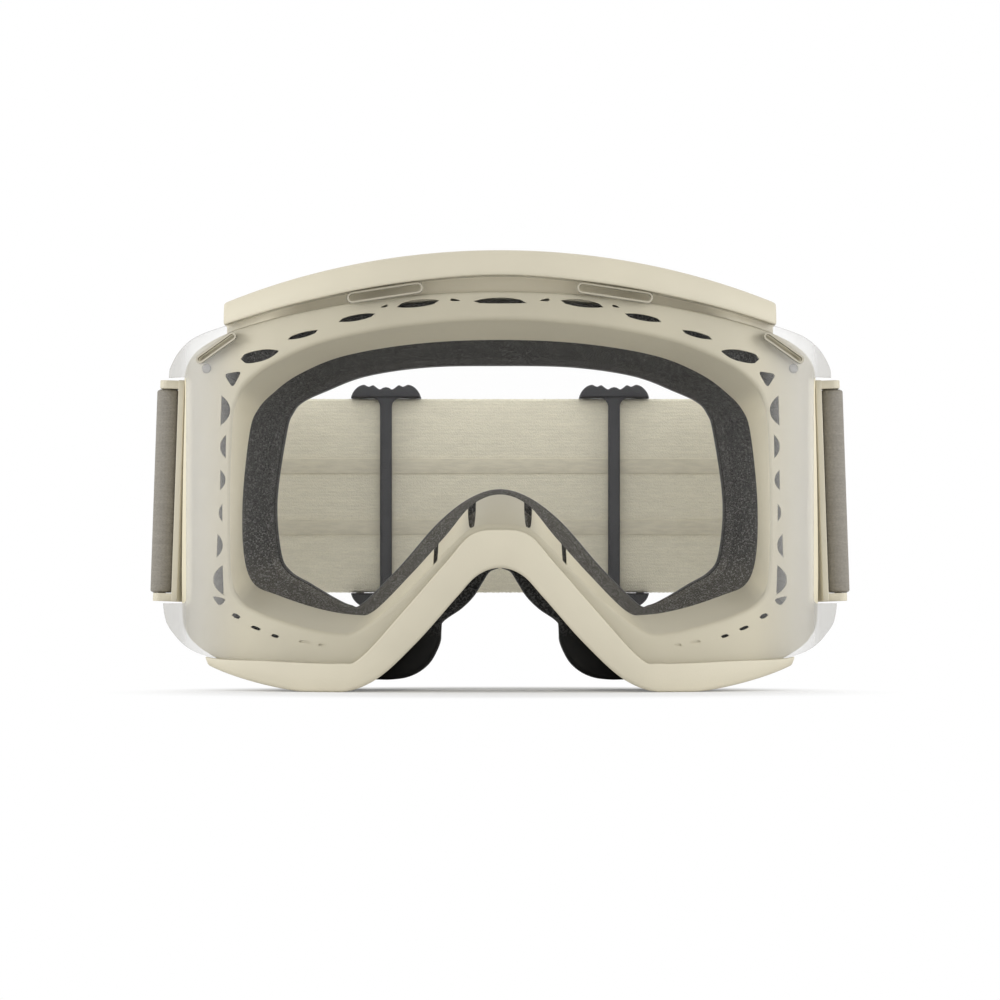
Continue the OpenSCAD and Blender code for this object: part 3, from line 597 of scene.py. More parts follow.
def foam(name, colour, pore, depth, speckle):
    """Open-cell foam: round pores, broken cell walls and pale speckles, with painted light where it faces up: a paler,
    warmer tone and stronger speckles.
    """
    finish = Finish(name)
    coordinates = finish.add("ShaderNodeTexCoord")
    point = coordinates.outputs["Object"]
    _, _, facing_up = finish.split(coordinates.outputs["Normal"])
    pores, _ = finish.cells(point, 1 / pore)
    walls = finish.noise(point, 0.7 / pore, 3.0, 0.6)
    away, chance = finish.cells(finish.object_point((1.0, 0.5, 1.0)), 1.5 / pore)
    dots = chance.between(0.55, 0.75) * (0.6 - away).between(0.0, 0.2)
    # Painted light: the speckles show more strongly where the foam faces up, towards the light.
    specks_and_top_light = dots * (facing_up.between(-0.35, 0.45) * 0.5 + 0.3)
    # Painted light: a paler, warmer tone is blended in where the foam faces up.
    painted_top_light = [c * k for c, k in zip(shade(colour, 3.2), TOP_LIGHT_TINT)]
    base = finish.blend(facing_up.between(0.0, 0.6) * 0.42, finish.tone(walls, colour, 0.55, 1.3), painted_top_light)
    return finish.set(
        Base_Color=finish.blend(specks_and_top_light * speckle, base, shade(colour, 8.0)),
        Roughness=0.94, Specular_IOR_Level=0.2,
        Normal=finish.relief(pores * 0.8 + walls * 0.7, depth))


def fleece(name, colour):
    """Brushed fleece: a soft nap with a faint sheen."""
    finish = Finish(name)
    point = finish.object_point()
    nap = finish.noise(point, 900.0, 4.0, 0.65)
    tufts = finish.noise(point, 260.0)
    return finish.set(
        Base_Color=finish.tone(nap * 0.6 + tufts * 0.4, colour, 0.7, 1.5),
        Roughness=0.97, Specular_IOR_Level=0.1, Sheen_Weight=0.35, Sheen_Roughness=0.5,
        Normal=finish.relief(nap + tufts, 0.00022))


def neoprene(name, colour):
    """Soft rubber with a smooth skin low down and cut cells showing towards the bridge of the nose."""
    finish = Finish(name)
    point = finish.object_point()
    _, _, height = finish.split(point)
    slow = finish.noise(point, 110.0)
    _, chance = finish.cells(point, 3000.0)
    cut = height.between(0.012, 0.017)
    smooth = finish.tone(slow, colour, 0.8, 1.5, low=0.35)
    return finish.set(
        Base_Color=finish.blend(chance.between(0.45, 0.75) * cut, smooth, shade(colour, 9.0)),
        Roughness=0.62 + (slow - 0.5) * 0.2, Specular_IOR_Level=0.3,
        Normal=finish.relief(slow * 0.6 + chance * 0.4 * cut, 0.00016))


def woven(name, colour, streak=0.10):
    """Woven elastic webbing: ribs of warp along the band, picks of weft across it, and slubby yarn."""
    finish = Finish(name)
    along, across, _ = finish.split(finish.add("ShaderNodeUVMap", {"uv_map": "web"}).outputs[0])

    def strands(lengthwise, crosswise, layer, detail=2.0, roughness=0.5):
        return finish.noise(finish.joined(along * lengthwise, across * crosswise, layer), 1.0, detail, roughness)

    wander = strands(60.0, 60.0, 9.0)
    row = (across * (2 * math.pi / WARP_RIB) + wander * 5.0).sine()
    picks = (along * (2 * math.pi / WEFT_PICK) + row * 1.6 + wander * 4.0).sine()
    yarn = strands(420.0, 1500.0, 0.0, 3.0, 0.6)
    slub = strands(130.0, 700.0, 3.0)
    fuzz = strands(2300.0, 2600.0, 5.0, 1.0)
    tone = finish.tone(yarn * 0.5 + slub * 0.5, colour, 1 - streak, 1 + 0.5 * streak, 0.28, 0.72)
    # Darker in mottled patches of fuzz, and a little along each warp rib's row.
    darker_patches = row * 0.04 + 0.04 + fuzz.between(0.35, 0.75) * 0.7
    return finish.set(
        Base_Color=finish.blend(darker_patches, tone, shade(colour, 1 - 1.3 * streak)),
        Roughness=0.9, Specular_IOR_Level=0.15, Sheen_Weight=0.15, Sheen_Roughness=0.4,
        Normal=finish.relief(row * 0.1 + picks * 0.08 + yarn * 0.8 + slub * 0.6 + fuzz * 1.1, 0.00012))


def silicone(name, colour):
    """A printed silicone strip: smooth, faintly glossy, the weave showing through a little."""
    finish = Finish(name)
    through = finish.noise(finish.object_point((260.0, 260.0, 1300.0)), 1.0, 3.0)
    return finish.set(
        Base_Color=finish.tone(through, colour, 0.93, 1.05),
        Roughness=0.42 + (through - 0.5) * 0.2, Specular_IOR_Level=0.45,
        Normal=finish.relief(through, 0.00006))


def thread(name, colour):
    """Twisted polyester thread."""
    finish = Finish(name)
    twist = finish.noise(finish.object_point(), 2600.0)
    return finish.set(
        Base_Color=finish.tone(twist, colour, 0.8, 1.2),
        Roughness=0.7, Specular_IOR_Level=0.25, Normal=finish.relief(twist, 0.00008))


# Properties


def length(name, description, default):
    return bpy.props.FloatProperty(name=name, description=description, default=default, unit="LENGTH")


def hue(name, description, default):
    return bpy.props.FloatVectorProperty(
        name=name, description=description, default=default, subtype="COLOR", min=0, max=1)


class GogglesSizes(bpy.types.PropertyGroup):
    """Sizes of the details that Blender adds to the part."""

    plate_round: length("Plate Rounding", "Rounding of the front plate's inner edge", 0.0014)
    frame_round: length("Frame Rounding", "Rounding of the frame's outer edges", 0.0009)
    moulding_bevel: length("Moulding Bevel", "Width of the bevel on small mouldings", 0.0003)
    outline_steps: bpy.props.IntProperty(
        name="Outline Steps", description="Sections between two outline points", default=12, min=3)
    stitch_pitch: length("Stitch Pitch", "Distance from stitch to stitch", 0.0029)
    stitch_length: length("Stitch Length", "Length of thread that shows in a stitch", 0.0022)
    thread_radius: length("Thread Radius", "Radius of the sewing thread", 0.00022)
    selvedge_pitch: length("Selvedge Pitch", "Distance between weft loops on the webbing's edge", 0.0011)


class GogglesColours(bpy.types.PropertyGroup):
    """Colours of the finishes."""

    bone: hue("Bone", "Moulded frame", (0.60, 0.555, 0.435))
    # Shell: a darker bone than the frame's, as painted shade for the light that the clear lens and the brow bar keep
    # off the shell behind them.
    shell: hue("Shell", "Mask shell behind the lens", (0.515, 0.475, 0.362))
    cream: hue("Cream", "Webbing's inner face", (0.92, 0.87, 0.70))
    taupe: hue("Taupe", "Webbing's outer face", (0.29, 0.27, 0.235))
    grip: hue("Grip", "Silicone grip strips", (0.74, 0.69, 0.54))
    foam: hue("Foam", "Face foam and vent foam", (0.034, 0.033, 0.0315))
    flap: hue("Nose Flap", "Nose flaps", (0.008, 0.008, 0.008))
    charcoal: hue("Charcoal", "Strap adjusters", (0.028, 0.028, 0.032))
    # Lens: the tone of the lens's veil, a painted reflection at a slant and at its sides.
    lens: hue("Lens", "Veil of the clear lens", (0.60, 0.59, 0.565))
    floor: hue("Floor", "Floor and backdrop", (0.9, 0.9, 0.9))


def sizes():
    return bpy.context.scene.goggles_sizes


def paint(name, factor=1.0):
    """One of the panel's colours, made lighter or darker."""
    return [c * factor for c in getattr(bpy.context.scene.goggles_colours, name)]


def shared(make, name, colour, **settings):
    """A finish that several pieces share, made when it is first asked for."""
    return bpy.data.materials.get(name) or make(name, paint(colour), **settings)


def bone():
    return shared(moulded, "bone_moulding", "bone")


def face_foam():
    return shared(foam, "open_cell_foam", "foam", pore=0.00055, depth=0.0002, speckle=0.9)


def cream_web():
    return shared(woven, "cream_webbing", "cream")


def taupe_web():
    return shared(woven, "taupe_webbing", "taupe", streak=0.14)


# Frame


def channel(s, inset=0.0, plate=(0, 1), flange=(0, 1)):
    """The air channel's section at one place: points across the plate, then across the flange.

    The plate runs from its outer to its inner edge, the flange from the opening to its outer edge.
    """
    a, b, c, d = (curve(o, s) for o in (PLATE_OUTER, PLATE_INNER, OPENING, FOAM_OUTER))
    a, b, c, d = toward(a, b, inset), toward(b, a, inset), toward(c, d, inset), toward(d, c, inset)
    front = [at_front(mix(a, b, t), PLATE_Y + inset) for t in plate]
    return front + [at_face(mix(c, d, t), FRAME_DEPTH - inset) for t in flange]


def leaf(x, z, length, bulge_up, bulge_down, turn, tip=0.22, steps=9):
    """A leaf-shaped vent's outline, pointed at both ends."""
    points = []
    for side, bulge in ((1, bulge_up), (-1, bulge_down)):
        for t in np.linspace(-1, 1, steps)[:-1]:
            h = tip + (bulge - tip) * (1 - t * t) if bulge > tip else bulge * 0.6
            points.append((side * t * length / 2, side * h))
    return set_at(x, z, math.radians(turn), points)


def blunt_leaf(x, z, length, bulge_up, bulge_down, turn, steps=11):
    """A vent's outline with a point towards the middle and a round end towards the side."""
    def height(t):
        return math.sqrt(1 - t**4) if t > 0 else 0.12 + 0.88 * (1 - t * t)
    ts = np.linspace(-1, 1, steps)
    points = [(t * length / 2, height(t) * bulge_up) for t in ts]
    points += [(t * length / 2, -height(t) * bulge_down) for t in ts[-2::-1]]
    return set_at(x, z, math.radians(turn), points)


def half_moon(x, z, length, bulge, turn, steps=11):
    """A side vent's outline: one straight side and one bulging side."""
    points = [(t * length / 2, 0) for t in np.linspace(-1, 1, 5)]
    points += [(t * length / 2, -bulge * (1 - abs(t) ** 2.2)) for t in np.linspace(1, -1, steps)[1:-1]]
    return set_at(x, z, math.radians(turn), points)


def soft_wedge(corners):
    """A three-cornered vent's outline with rounded corners."""
    return rounded([np.array(c, float) for c in corners], [WEDGE_R] * 3, 3)


def plate_cut(outline, deep=WALL + OVERCUT):
    """A cut into the front plate."""
    return prism(outline, PLATE_Y - OVERCUT, PLATE_Y + deep, at_front)


def nose_slit(x, half, low, high):
    """A slit in the nose's inner wall, open at its top."""
    corners = ((-0.6, low), (0.6, low), (1, low + 3), (1, high), (-1, high), (-1, low + 3))
    slit = rounded([np.array([x + u * half, z]) for u, z in corners], [0.7 * half, 0.7 * half, 2, 0, 0, 2])
    return prism(slit, PLATE_Y + WALL, FRAME_DEPTH + 2, straight)


def top_slot(k):
    """A slot through the frame's top, counted from the middle one."""
    s = abs(k) * TOP_SLOT_STEP
    at = curve(FOAM_OUTER, s)
    x = math.copysign(at[0], k)
    rise = mix(at, curve(PLATE_OUTER, s), 0.4)[1]
    y = FACE_R - math.sqrt(FACE_R**2 - x * x) + (BROW_DEPTH + FRAME_DEPTH - WALL) / 2
    apart = (TOP_SLOT_L - TOP_SLOT_W) / 2
    ring = set_at(x, y, math.asin(x / FACE_R),
                  [(math.copysign(apart, u) + u, v) for u, v in circle(0, 0, TOP_SLOT_W / 2)])
    return skin([[np.array([*p, z]) for p in ring] for z in (rise - 2 * WALL, rise + 12.0)])


class GOGGLES_OT_frame(bpy.types.Operator):
    """Builds the mask frame's shell with its vents, nose slits and top slots"""

    bl_idname = "goggles.frame"
    bl_label = "Frame Shell"

    def execute(self, context):
        size = sizes()
        soft, softer = size.frame_round * 1000, size.plate_round * 1000
        around = places(0, LAST, size.outline_steps)
        walls = [rounded(channel(s, 0, (0, 0.3, 0.6, 1), (0, 0.5, 1)), [soft, 0, 0, softer, 0.6 * soft, 0, soft])
                 for s in around]
        outside = skin(whole_ring(walls), ring=True)
        inside = skin(whole_ring([channel(s, WALL) for s in around]), ring=True, inside_out=True)
        # Painted light and shade: the shell's colour is darkened for the shade behind the lens, and its walls that
        # face sideways are painted lighter.
        material = moulded("shell_moulding", paint("shell"), painted_side_light=1.6)
        shell = new_piece("mask_frame", *joined(outside, inside), materials=[material])
        vents = [leaf(*v) for v in BROW_VENTS + CHEEK_VENTS] + [half_moon(*v) for v in SIDE_VENTS]
        vents += [soft_wedge(w) for w in WEDGE_VENTS] + [blunt_leaf(*ROUND_VENT)]
        vents += [flipped(v) for v in vents] + [leaf(*TOP_VENT)]
        dimples = [leaf(*v) for v in CHEEK_DIMPLES]
        cuts = [plate_cut(v) for v in vents] + [plate_cut(d, DIMPLE) for d in dimples + [flipped(d) for d in dimples]]
        for side in (-1, 1):
            cuts.append(plate_cut(circle(side * PEG_AT[0], PEG_AT[1], PEG_R + PEG_GAP, 20)))
            cuts += [nose_slit(side * x, *rest) for x, *rest in NOSE_SLITS]
        carve(shell, cuts + [top_slot(k) for k in range(-3, 4)])
        dress(crease(shell), "frame_shell", "mask")
        return {"FINISHED"}


def brow_top(x):
    return LENS_TOP + BROW_H - BROW_R + math.sqrt(BROW_R**2 - x * x)


def edge_height(points, x):
    """Height of an outline over the brow at a distance from the middle."""
    low, high = 0.0, 5.0
    for _ in range(40):
        middle = (low + high) / 2
        low, high = (middle, high) if curve(points, middle)[0] < x else (low, middle)
    return curve(points, low)[1]


def rounded_ends(sections, reach, radius):
    """Draws in the end sections of a loft so that its ends are rounded; reach lists each end's distances."""
    out = []
    for section, gap in zip(sections, reach):
        inset = radius - math.sqrt(max(0.0, radius**2 - (radius - min(gap, radius)) ** 2))
        out.append(drawn_in(section, inset) if inset > 0 else section)
    return out


class GOGGLES_OT_brow(bpy.types.Operator):
    """Builds the thick brow bar over the lens with the web behind it"""

    bl_idname = "goggles.brow"
    bl_label = "Brow Bar"

    def execute(self, context):
        ends = [side * (BROW_HALF_W - d) for side in (-1, 1) for d in BROW_END_STEPS]
        xs = sorted({*np.linspace(-BROW_HALF_W, BROW_HALF_W, 121), *ends})
        bar = []
        for x in xs:
            low, high = edge_height(LENS_EDGE, abs(x)), brow_top(x)
            corners = ((low, BROW_DEPTH), (low, -BROW_PROUD), (low + BROW_WAIST * (high - low), -BROW_PROUD),
                       (high, BROW_SLOPE - BROW_PROUD), (high, BROW_DEPTH))
            bar.append(rounded([at_front((x, z), d) for z, d in corners], BROW_RADII))
        bar = skin(rounded_ends(bar, [BROW_HALF_W - abs(x) for x in xs], BROW_END_R))
        web_edge = mix(PLATE_OUTER, FOAM_OUTER, (BROW_DEPTH - WALL - PLATE_Y) / (FRAME_DEPTH - PLATE_Y))
        web = []
        for x in np.linspace(WEB_SHORT - BROW_HALF_W, BROW_HALF_W - WEB_SHORT, 97):
            share = ease(clamped((abs(x) - WEB_EASE_FROM) / WEB_EASE_OVER))
            front = WEB_FRONT * (1 - share) + (PLATE_Y + LAP) * share
            rear = edge_height(web_edge, abs(x)) + LAP
            rise = edge_height(PLATE_OUTER, abs(x)) - SEAM - rear
            low = rear + rise * (BROW_DEPTH - front) / (BROW_DEPTH - PLATE_Y)
            high = edge_height(LENS_EDGE, abs(x)) + 1.0
            corners = ((low, front), (high, front), (high, BROW_DEPTH - LAP), (rear, BROW_DEPTH - LAP))
            web.append([at_front((x, z), d) for z, d in corners])
        # Painted light: the web behind the brow bar takes a lighter bone than the bar, to lift the shade in its recess
        # and in the lens slots in front of it.
        pale = moulded("brow_web_moulding", paint("bone", 1.25))
        piece = new_piece("brow_bar_moulding", *joined(bar, skin(web)), materials=[bone(), pale])
        for polygon in piece.data.polygons[len(bar[1]):]:
            polygon.material_index = 1
        dress(crease(piece), "brow_bar", "mask")
        return {"FINISHED"}


class GOGGLES_OT_rim(bpy.types.Operator):
    """Builds the lower rim along the cheeks and over the nose"""

    bl_idname = "goggles.rim"
    bl_label = "Lower Rim"

    def execute(self, context):
        ends = [RIM_START + d / RIM_PITCH for d in RIM_END_STEPS]
        at = sorted({*places(RIM_START, LAST, sizes().outline_steps), *ends})
        half = []
        for s in at:
            inner, outer = curve(LENS_EDGE, s), curve(RIM_OUTER, s)
            corners = ((inner, -RIM_PROUD), (mix(inner, outer, 0.55), -RIM_PROUD), (outer, RIM_SLOPE - RIM_PROUD),
                       (outer, PLATE_Y - LAP), (inner, PLATE_Y - LAP))
            half.append(rounded([at_front(p, d) for p, d in corners], RIM_RADII))
        half = rounded_ends(half, [(s - RIM_START) * RIM_PITCH for s in at], RIM_END_R)
        finished("lower_rim_moulding", skin(over_bridge(half)), bone(), "lower_rim", "mask")
        return {"FINISHED"}


# Lens


def slot_round(slot, turns=12, runs=8):
    """Places round a slot: the centre of its round end or straight side, and the way out from it."""
    a, b, r = np.array(slot[0]), np.array(slot[1]), slot[2] / 2
    run = (b - a) / np.linalg.norm(b - a)
    a, b, start = a + run * r, b - run * r, math.atan2(run[1], run[0])
    around = []
    for end, other, first in ((a, b, start + math.pi / 2), (b, a, start - math.pi / 2)):
        turned_ways = [np.array([math.cos(t), math.sin(t)]) for t in np.linspace(first, first + math.pi, turns + 1)]
        around += [(end, way) for way in turned_ways]
        around += [(mix(end, other, k / runs), turned_ways[-1]) for k in range(1, runs)]
    return around


def slot_outline(slot, grow):
    return [centre + way * (slot[2] / 2 + grow) for centre, way in slot_round(slot)]


def both(slots):
    """Slots of the right half and their mirror images."""
    return [*slots, *[((-b[0], b[1]), (-a[0], a[1]), h) for a, b, h in slots]]


class GOGGLES_OT_lens(bpy.types.Operator):
    """Builds the clear cylindrical lens, cut to its outline, with its slots and side notches"""

    bl_idname = "goggles.lens"
    bl_label = "Lens"

    def execute(self, context):
        surface = clear_lens("clear_lens", paint("lens"), veil=0.012, slant_reflection=0.4, side_reflection=0.31, border_reflection=0.25)
        edge = clear_lens("lens_edge", paint("lens", 0.6), veil=0.55, slant_reflection=0.3)
        corners = ((LENS_R, -5), (LENS_R, 110), (LENS_R - LENS_T, 110), (LENS_R - LENS_T, -5))
        shell = [[np.array([r * math.sin(turn), LENS_R - r * math.cos(turn), z]) for r, z in corners]
                 for turn in np.radians(np.linspace(-LENS_SWEEP, LENS_SWEEP, 141))]
        lens = new_piece("clear_lens", *skin(shell), materials=[surface, edge])
        half = [toward(curve(LENS_EDGE, s), curve(PLATE_INNER, s), LENS_GAP) for s in places(0, LAST, 10)]
        carve(lens, [prism(half + flipped(half[-2:0:-1]), *LENS_CUT, straight)], "INTERSECT")
        brace = BAR_X - FOLD_R - STRAP_T / 2 - LAYER_GAP
        notch = brace - WALL - math.tan(LEAN) * (STRAP_W / 2 + LIP_T) - 2 * LENS_GAP
        low, high = HEAD_LOW - LIP_T - NOTCH_GAP, HEAD_HIGH + LIP_T + NOTCH_GAP
        cuts = [slot_outline(slot, SLOT_RIM + SLOT_FIT) for slot in both(LENS_SLOTS)]
        for side in (-1, 1):
            box = [np.array([side * x, z]) for x, z in ((notch, low), (95.0, low), (95.0, high), (notch, high))]
            cuts.append(rounded(box, [NOTCH_R, 0, 0, NOTCH_R]))
        carve(lens, [prism(cut, *LENS_CUT, straight) for cut in cuts])
        for polygon in lens.data.polygons:
            middle = polygon.center
            radial = Vector((middle.x, middle.y + (MID_Y - LENS_R) / 1000, 0)).normalized()
            polygon.material_index = 0 if abs(polygon.normal.dot(radial)) > 0.9 else 1
        dress(crease(lens, 30), "lens", "lens")
        return {"FINISHED"}


class GOGGLES_OT_lens_trim(bpy.types.Operator):
    """Builds the thin rims round the lens's slots and the two snap pegs behind it"""

    bl_idname = "goggles.lens_trim"
    bl_label = "Lens Slot Rims and Pegs"

    def execute(self, context):
        front, back = -SLOT_RIM_PROUD, LENS_T + SLOT_RIM_PROUD
        corners = ((0, front), (SLOT_RIM, front), (SLOT_RIM, back), (0, back))
        rings = []
        for slot in both(LENS_SLOTS):
            sections = [[at_front(centre + way * (slot[2] / 2 + grow), depth) for grow, depth in corners]
                        for centre, way in slot_round(slot)]
            rings.append(skin([rounded(section, RING_RADII, 3) for section in sections], ring=True))
        # Painted shade: the slot rims take a darker bone, to tone down the light on their front faces.
        trim_finish = moulded("slot_ring_moulding", paint("bone", 0.68))
        finished("lens_slot_rings", joined(*rings), trim_finish, "lens_slot_rims", "lens")
        tip = PLATE_Y + PEG_REACH
        stations = ((LENS_T, 1), (LENS_T + 0.6, 0.92), (tip - 0.6, 1), (tip - 0.2, 0.85), (tip, 0.45))
        pegs = [skin([[at_front(p, depth) for p in circle(side * PEG_AT[0], PEG_AT[1], PEG_R * share)]
                      for depth, share in stations]) for side in (-1, 1)]
        trim_finish = clear_lens("lens_pegs", paint("lens", 0.95), veil=0.3, slant_reflection=0.25)
        finished("lens_snap_pegs", joined(*pegs), trim_finish, "lens_pegs", "lens", 50)
        return {"FINISHED"}


# Foam


def strip_section(s):
    """The vent foam's section in the channel, set back from the plate, with rounded corners."""
    c = channel(s, WALL + STRIP_GAP)
    corners = [toward(c[0], c[3], STRIP_SET_BACK), toward(c[1], c[2], STRIP_SET_BACK), c[2], c[3]]
    return rounded(corners, [VENT_FOAM_R] * 4, 3)


class GOGGLES_OT_vent_foam(bpy.types.Operator):
    """Builds the foam strips that line the air channel behind the vents"""

    bl_idname = "goggles.vent_foam"
    bl_label = "Vent Foam"

    def execute(self, context):
        def strip(start, end):
            return [strip_section(s) for s in places(start, end, 9)]

        strips = {
            "vent_foam_top": over_brow(strip(0, 4)),
            "vent_foam_left": strip(13 / 3, 25 / 3),
            "vent_foam_lower_left": strip(26 / 3, 38 / 3),
            "vent_foam_nose": over_bridge(strip(40 / 3, 17))}
        for name in ("vent_foam_left", "vent_foam_lower_left"):
            strips[name.replace("left", "right")] = [flipped(section) for section in strips[name]]
        for node, sections in strips.items():
            piece = finished(node + "_strip", skin(sections), face_foam(), node, "mask", 60)
        return {"FINISHED"}


def foam_section(s, near, far, soft, softer):
    """A face foam layer's section between two depths: firm at its seam, rounded towards the face."""
    a, b = (mix(curve(OPENING, s), curve(FOAM_INNER, s), (depth - FOAM_Y) / (FACE_Y - FOAM_Y))
            for depth in (near, far))
    c = curve(FOAM_OUTER, s)
    corners = [at_face(a, near), at_face(b, far), at_face(mix(b, c, 0.5), far), at_face(c, far),
               at_face(c, near), at_face(mix(a, c, 0.5), near)]
    return rounded(corners, [soft, softer, 0, softer, soft, 0])


class GOGGLES_OT_face_foam(bpy.types.Operator):
    """Builds the firm, soft and fleece layers of the face foam"""

    bl_idname = "goggles.face_foam"
    bl_label = "Face Foam"

    def execute(self, context):
        around = places(0, LAST, sizes().outline_steps)
        soft_foam = foam("soft_foam", paint("foam", 1.35), pore=0.00045, depth=0.00015, speckle=0.8)
        nap = fleece("face_fleece", paint("foam", 0.9))
        layers = (("face_foam_base", "firm_foam_layer", FOAM_Y, MIDDLE_Y - SEAM, 0.2, 0.3, face_foam(), "foam"),
                  ("face_foam_middle", "soft_foam_layer", MIDDLE_Y, FLEECE_Y - SEAM, 0.3, 0.45, soft_foam, "foam"),
                  ("face_fleece", "fleece_layer", FLEECE_Y, FACE_Y, 0.3, 1.1, nap, "fleece"))
        for node, name, near, far, soft, softer, material, slot in layers:
            ring = whole_ring([foam_section(s, near, far, soft, softer) for s in around])
            piece = finished(name, skin(ring, ring=True), material, node, "mask", 60)
        return {"FINISHED"}


class GOGGLES_OT_nose_flaps(bpy.types.Operator):
    """Builds the two soft flaps that close the gap beside the nose"""

    bl_idname = "goggles.nose_flaps"
    bl_label = "Nose Flaps"

    def execute(self, context):
        material = neoprene("nose_neoprene", paint("flap"))
        back = FLAP_Y + FLAP_DEPTH
        sections = []
        for s in np.linspace(0, len(FLAP_EDGE) - 1, FLAP_SECTIONS):
            share = s / (len(FLAP_EDGE) - 1)
            edge = open_curve(FLAP_EDGE, s)
            root = toward(curve(FOAM_OUTER, FLAP_ROOT[1] * (1 - share) + FLAP_ROOT[0] * share), edge, 0.6)
            waist = mix(root, edge, 0.5)
            corners = ((root, FLAP_Y), (waist, FLAP_Y), (edge, FLAP_Y + 0.6), (edge, back - 0.6), (waist, back),
                       (root, back))
            sections.append(rounded([at_face(p, d) for p, d in corners], FLAP_RADII, 5))
        gaps = [min(4 * gap, FLAP_L - gap) for gap in np.linspace(0, FLAP_L, FLAP_SECTIONS)]
        sections = rounded_ends(sections, gaps, FLAP_END_R)
        for node, half in (("nose_flap_left", sections), ("nose_flap_right", [flipped(x) for x in sections])):
            piece = finished(node + "_pad", skin(half), material, node, "mask", 70)
        return {"FINISHED"}


# Strap


def turned(x, y, r, degrees):
    a = math.radians(degrees)
    return (x + r * math.sin(a), y + r * math.cos(a))


def strap_line(steps=22):
    """The webbing's centre line, from the wearer's left outer layer round its bar, behind and on to the right one.

    Each point is x, y, its share of the lean, and whether its exposed face is the cream inner one.
    """
    outer, inner = BEND_X + OUTER_BEND_R, BEND_X + STRAP_BEND_R
    by = at_front(curve(PLATE_OUTER, OUTRIGGER_AT), PLATE_Y)[1] + BAR_BEHIND
    join, end = (outer, by + 4 * BAR_L), (BAR_X + FOLD_R, by + BAR_L)
    half = [(*turned(BEND_X, BEND_Y, OUTER_BEND_R, a), a / 90, 0) for a in np.linspace(RETURN_TURN, 90, steps)]
    half += [(outer, BEND_Y + (join[1] - BEND_Y) * t, 1, 0) for t in np.linspace(0.25, 1, 4)]
    half += [(join[0] + (end[0] - join[0]) * ease(t), join[1] + (end[1] - join[1]) * t, 1, 0)
             for t in np.linspace(0.1, 1, 8)]
    half += [(*turned(BAR_X, by, FOLD_R, a), 1, 0) for a in np.linspace(90, 270, 2 * steps)]
    half += [(inner, by + (BEND_Y - by) * t, 1, 1) for t in np.linspace(0.06, 0.9, 8)]
    half += [(*turned(BEND_X, BEND_Y, STRAP_BEND_R, a), a / 90, 1) for a in np.linspace(90, 0, steps)]
    half += [(x, STRAP_LINE, 0, 1) for x in np.linspace(BEND_X - 4, 0, 14)]
    return half + flipped(half[-2::-1])


def lean(p, z):
    """How far the webbing shifts sideways at a height."""
    return math.tan(LEAN) * p[2] * np.sign(p[0]) * (z - STRAP_MID)


def web_sections(path, thickness, low, high, edge=0.5, rows=6):
    """Upright sections of webbing along a path, their UVs in metres, and the profile with its rounded edges."""
    line = np.array([[p[0], p[1]] for p in path])
    run = np.gradient(line, axis=0)
    run /= np.linalg.norm(run, axis=1)[:, None]
    far = np.concatenate([[0], np.cumsum(np.linalg.norm(np.diff(line, axis=0), axis=1))])
    r = min(edge, 0.49 * thickness)
    arc = [(math.cos(a) * r - r, math.sin(a) * r - r) for a in np.radians([0, 30, 60, 90])]
    h = thickness / 2
    profile = [(h, low + r + (high - low - 2 * r) * k / rows) for k in range(rows + 1)]
    profile += [(h + dx, high + dz) for dx, dz in arc[1:]]
    profile += [(-h - dx, high + dz) for dx, dz in reversed(arc[:-1])]
    profile += [(-h, high - r - (high - low - 2 * r) * k / rows) for k in range(1, rows + 1)]
    profile += [(-h - dx, low - dz) for dx, dz in arc[1:]]
    profile += [(h + dx, low - dz) for dx, dz in reversed(arc[1:-1])]
    sections, uvs = [], []
    for i, p in enumerate(path):
        side = np.array([-run[i][1], run[i][0]])
        sections.append([np.array([p[0] + e * side[0] - lean(p, z), p[1] + e * side[1], z]) for e, z in profile])
        uvs.append([(far[i] / 1000, (z + (0 if e > 0 else 3)) / 1000) for e, z in profile])
    return sections, uvs, profile


def paint_web(piece, path, profile):
    """Gives the webbing's exposed inner face the cream finish and everything else the taupe one."""
    for polygon in piece.data.polygons:
        owners = [divmod(v, len(profile)) for v in polygon.vertices]
        row = min(i for i, _ in owners)
        outer_side = sum(profile[j][0] for _, j in owners) > 0
        cream = path[row][3] and path[min(row + 1, len(path) - 1)][3] and outer_side
        polygon.material_index = 0 if cream else 1


class GOGGLES_OT_strap(bpy.types.Operator):
    """Builds the head strap: inner run, folds round the outrigger bars and outer return layers"""

    bl_idname = "goggles.strap"
    bl_label = "Head Strap"

    def execute(self, context):
        path = strap_line()
        sections, uvs, profile = web_sections(path, STRAP_T, STRAP_Z, STRAP_TOP)
        strap = new_piece("strap_webbing", *skin(sections), materials=[cream_web(), taupe_web()])
        web_uv(strap, uvs)
        paint_web(strap, path, profile)
        dress(crease(strap, 60), "head_strap", "mask")
        return {"FINISHED"}


class GOGGLES_OT_grips(bpy.types.Operator):
    """Builds the two silicone grip strips on the strap's inner face"""

    bl_idname = "goggles.grips"
    bl_label = "Grip Strips"

    def execute(self, context):
        material = silicone("grip_silicone", paint("grip"))
        r = STRAP_BEND_R - STRAP_T / 2 - GRIP_T / 2 + GRIP_SUNK
        half = [(*turned(BEND_X, BEND_Y, r, a), a / 90, 1) for a in np.linspace(GRIP_TURN, 0, 12)]
        half += [(x, BEND_Y + r, 0, 1) for x in np.linspace(BEND_X - 5, 0, 10)]
        path = half + flipped(half[-2::-1])
        for node, way in (("grip_strip_upper", 1), ("grip_strip_lower", -1)):
            z = GRIP_MID + way * GRIP_PITCH / 2
            sections, _, _ = web_sections(path, GRIP_T, z - GRIP_W / 2, z + GRIP_W / 2, edge=GRIP_EDGE_R, rows=2)
            finished(node + "_silicone", skin(sections), material, node, "mask", 60)
        return {"FINISHED"}


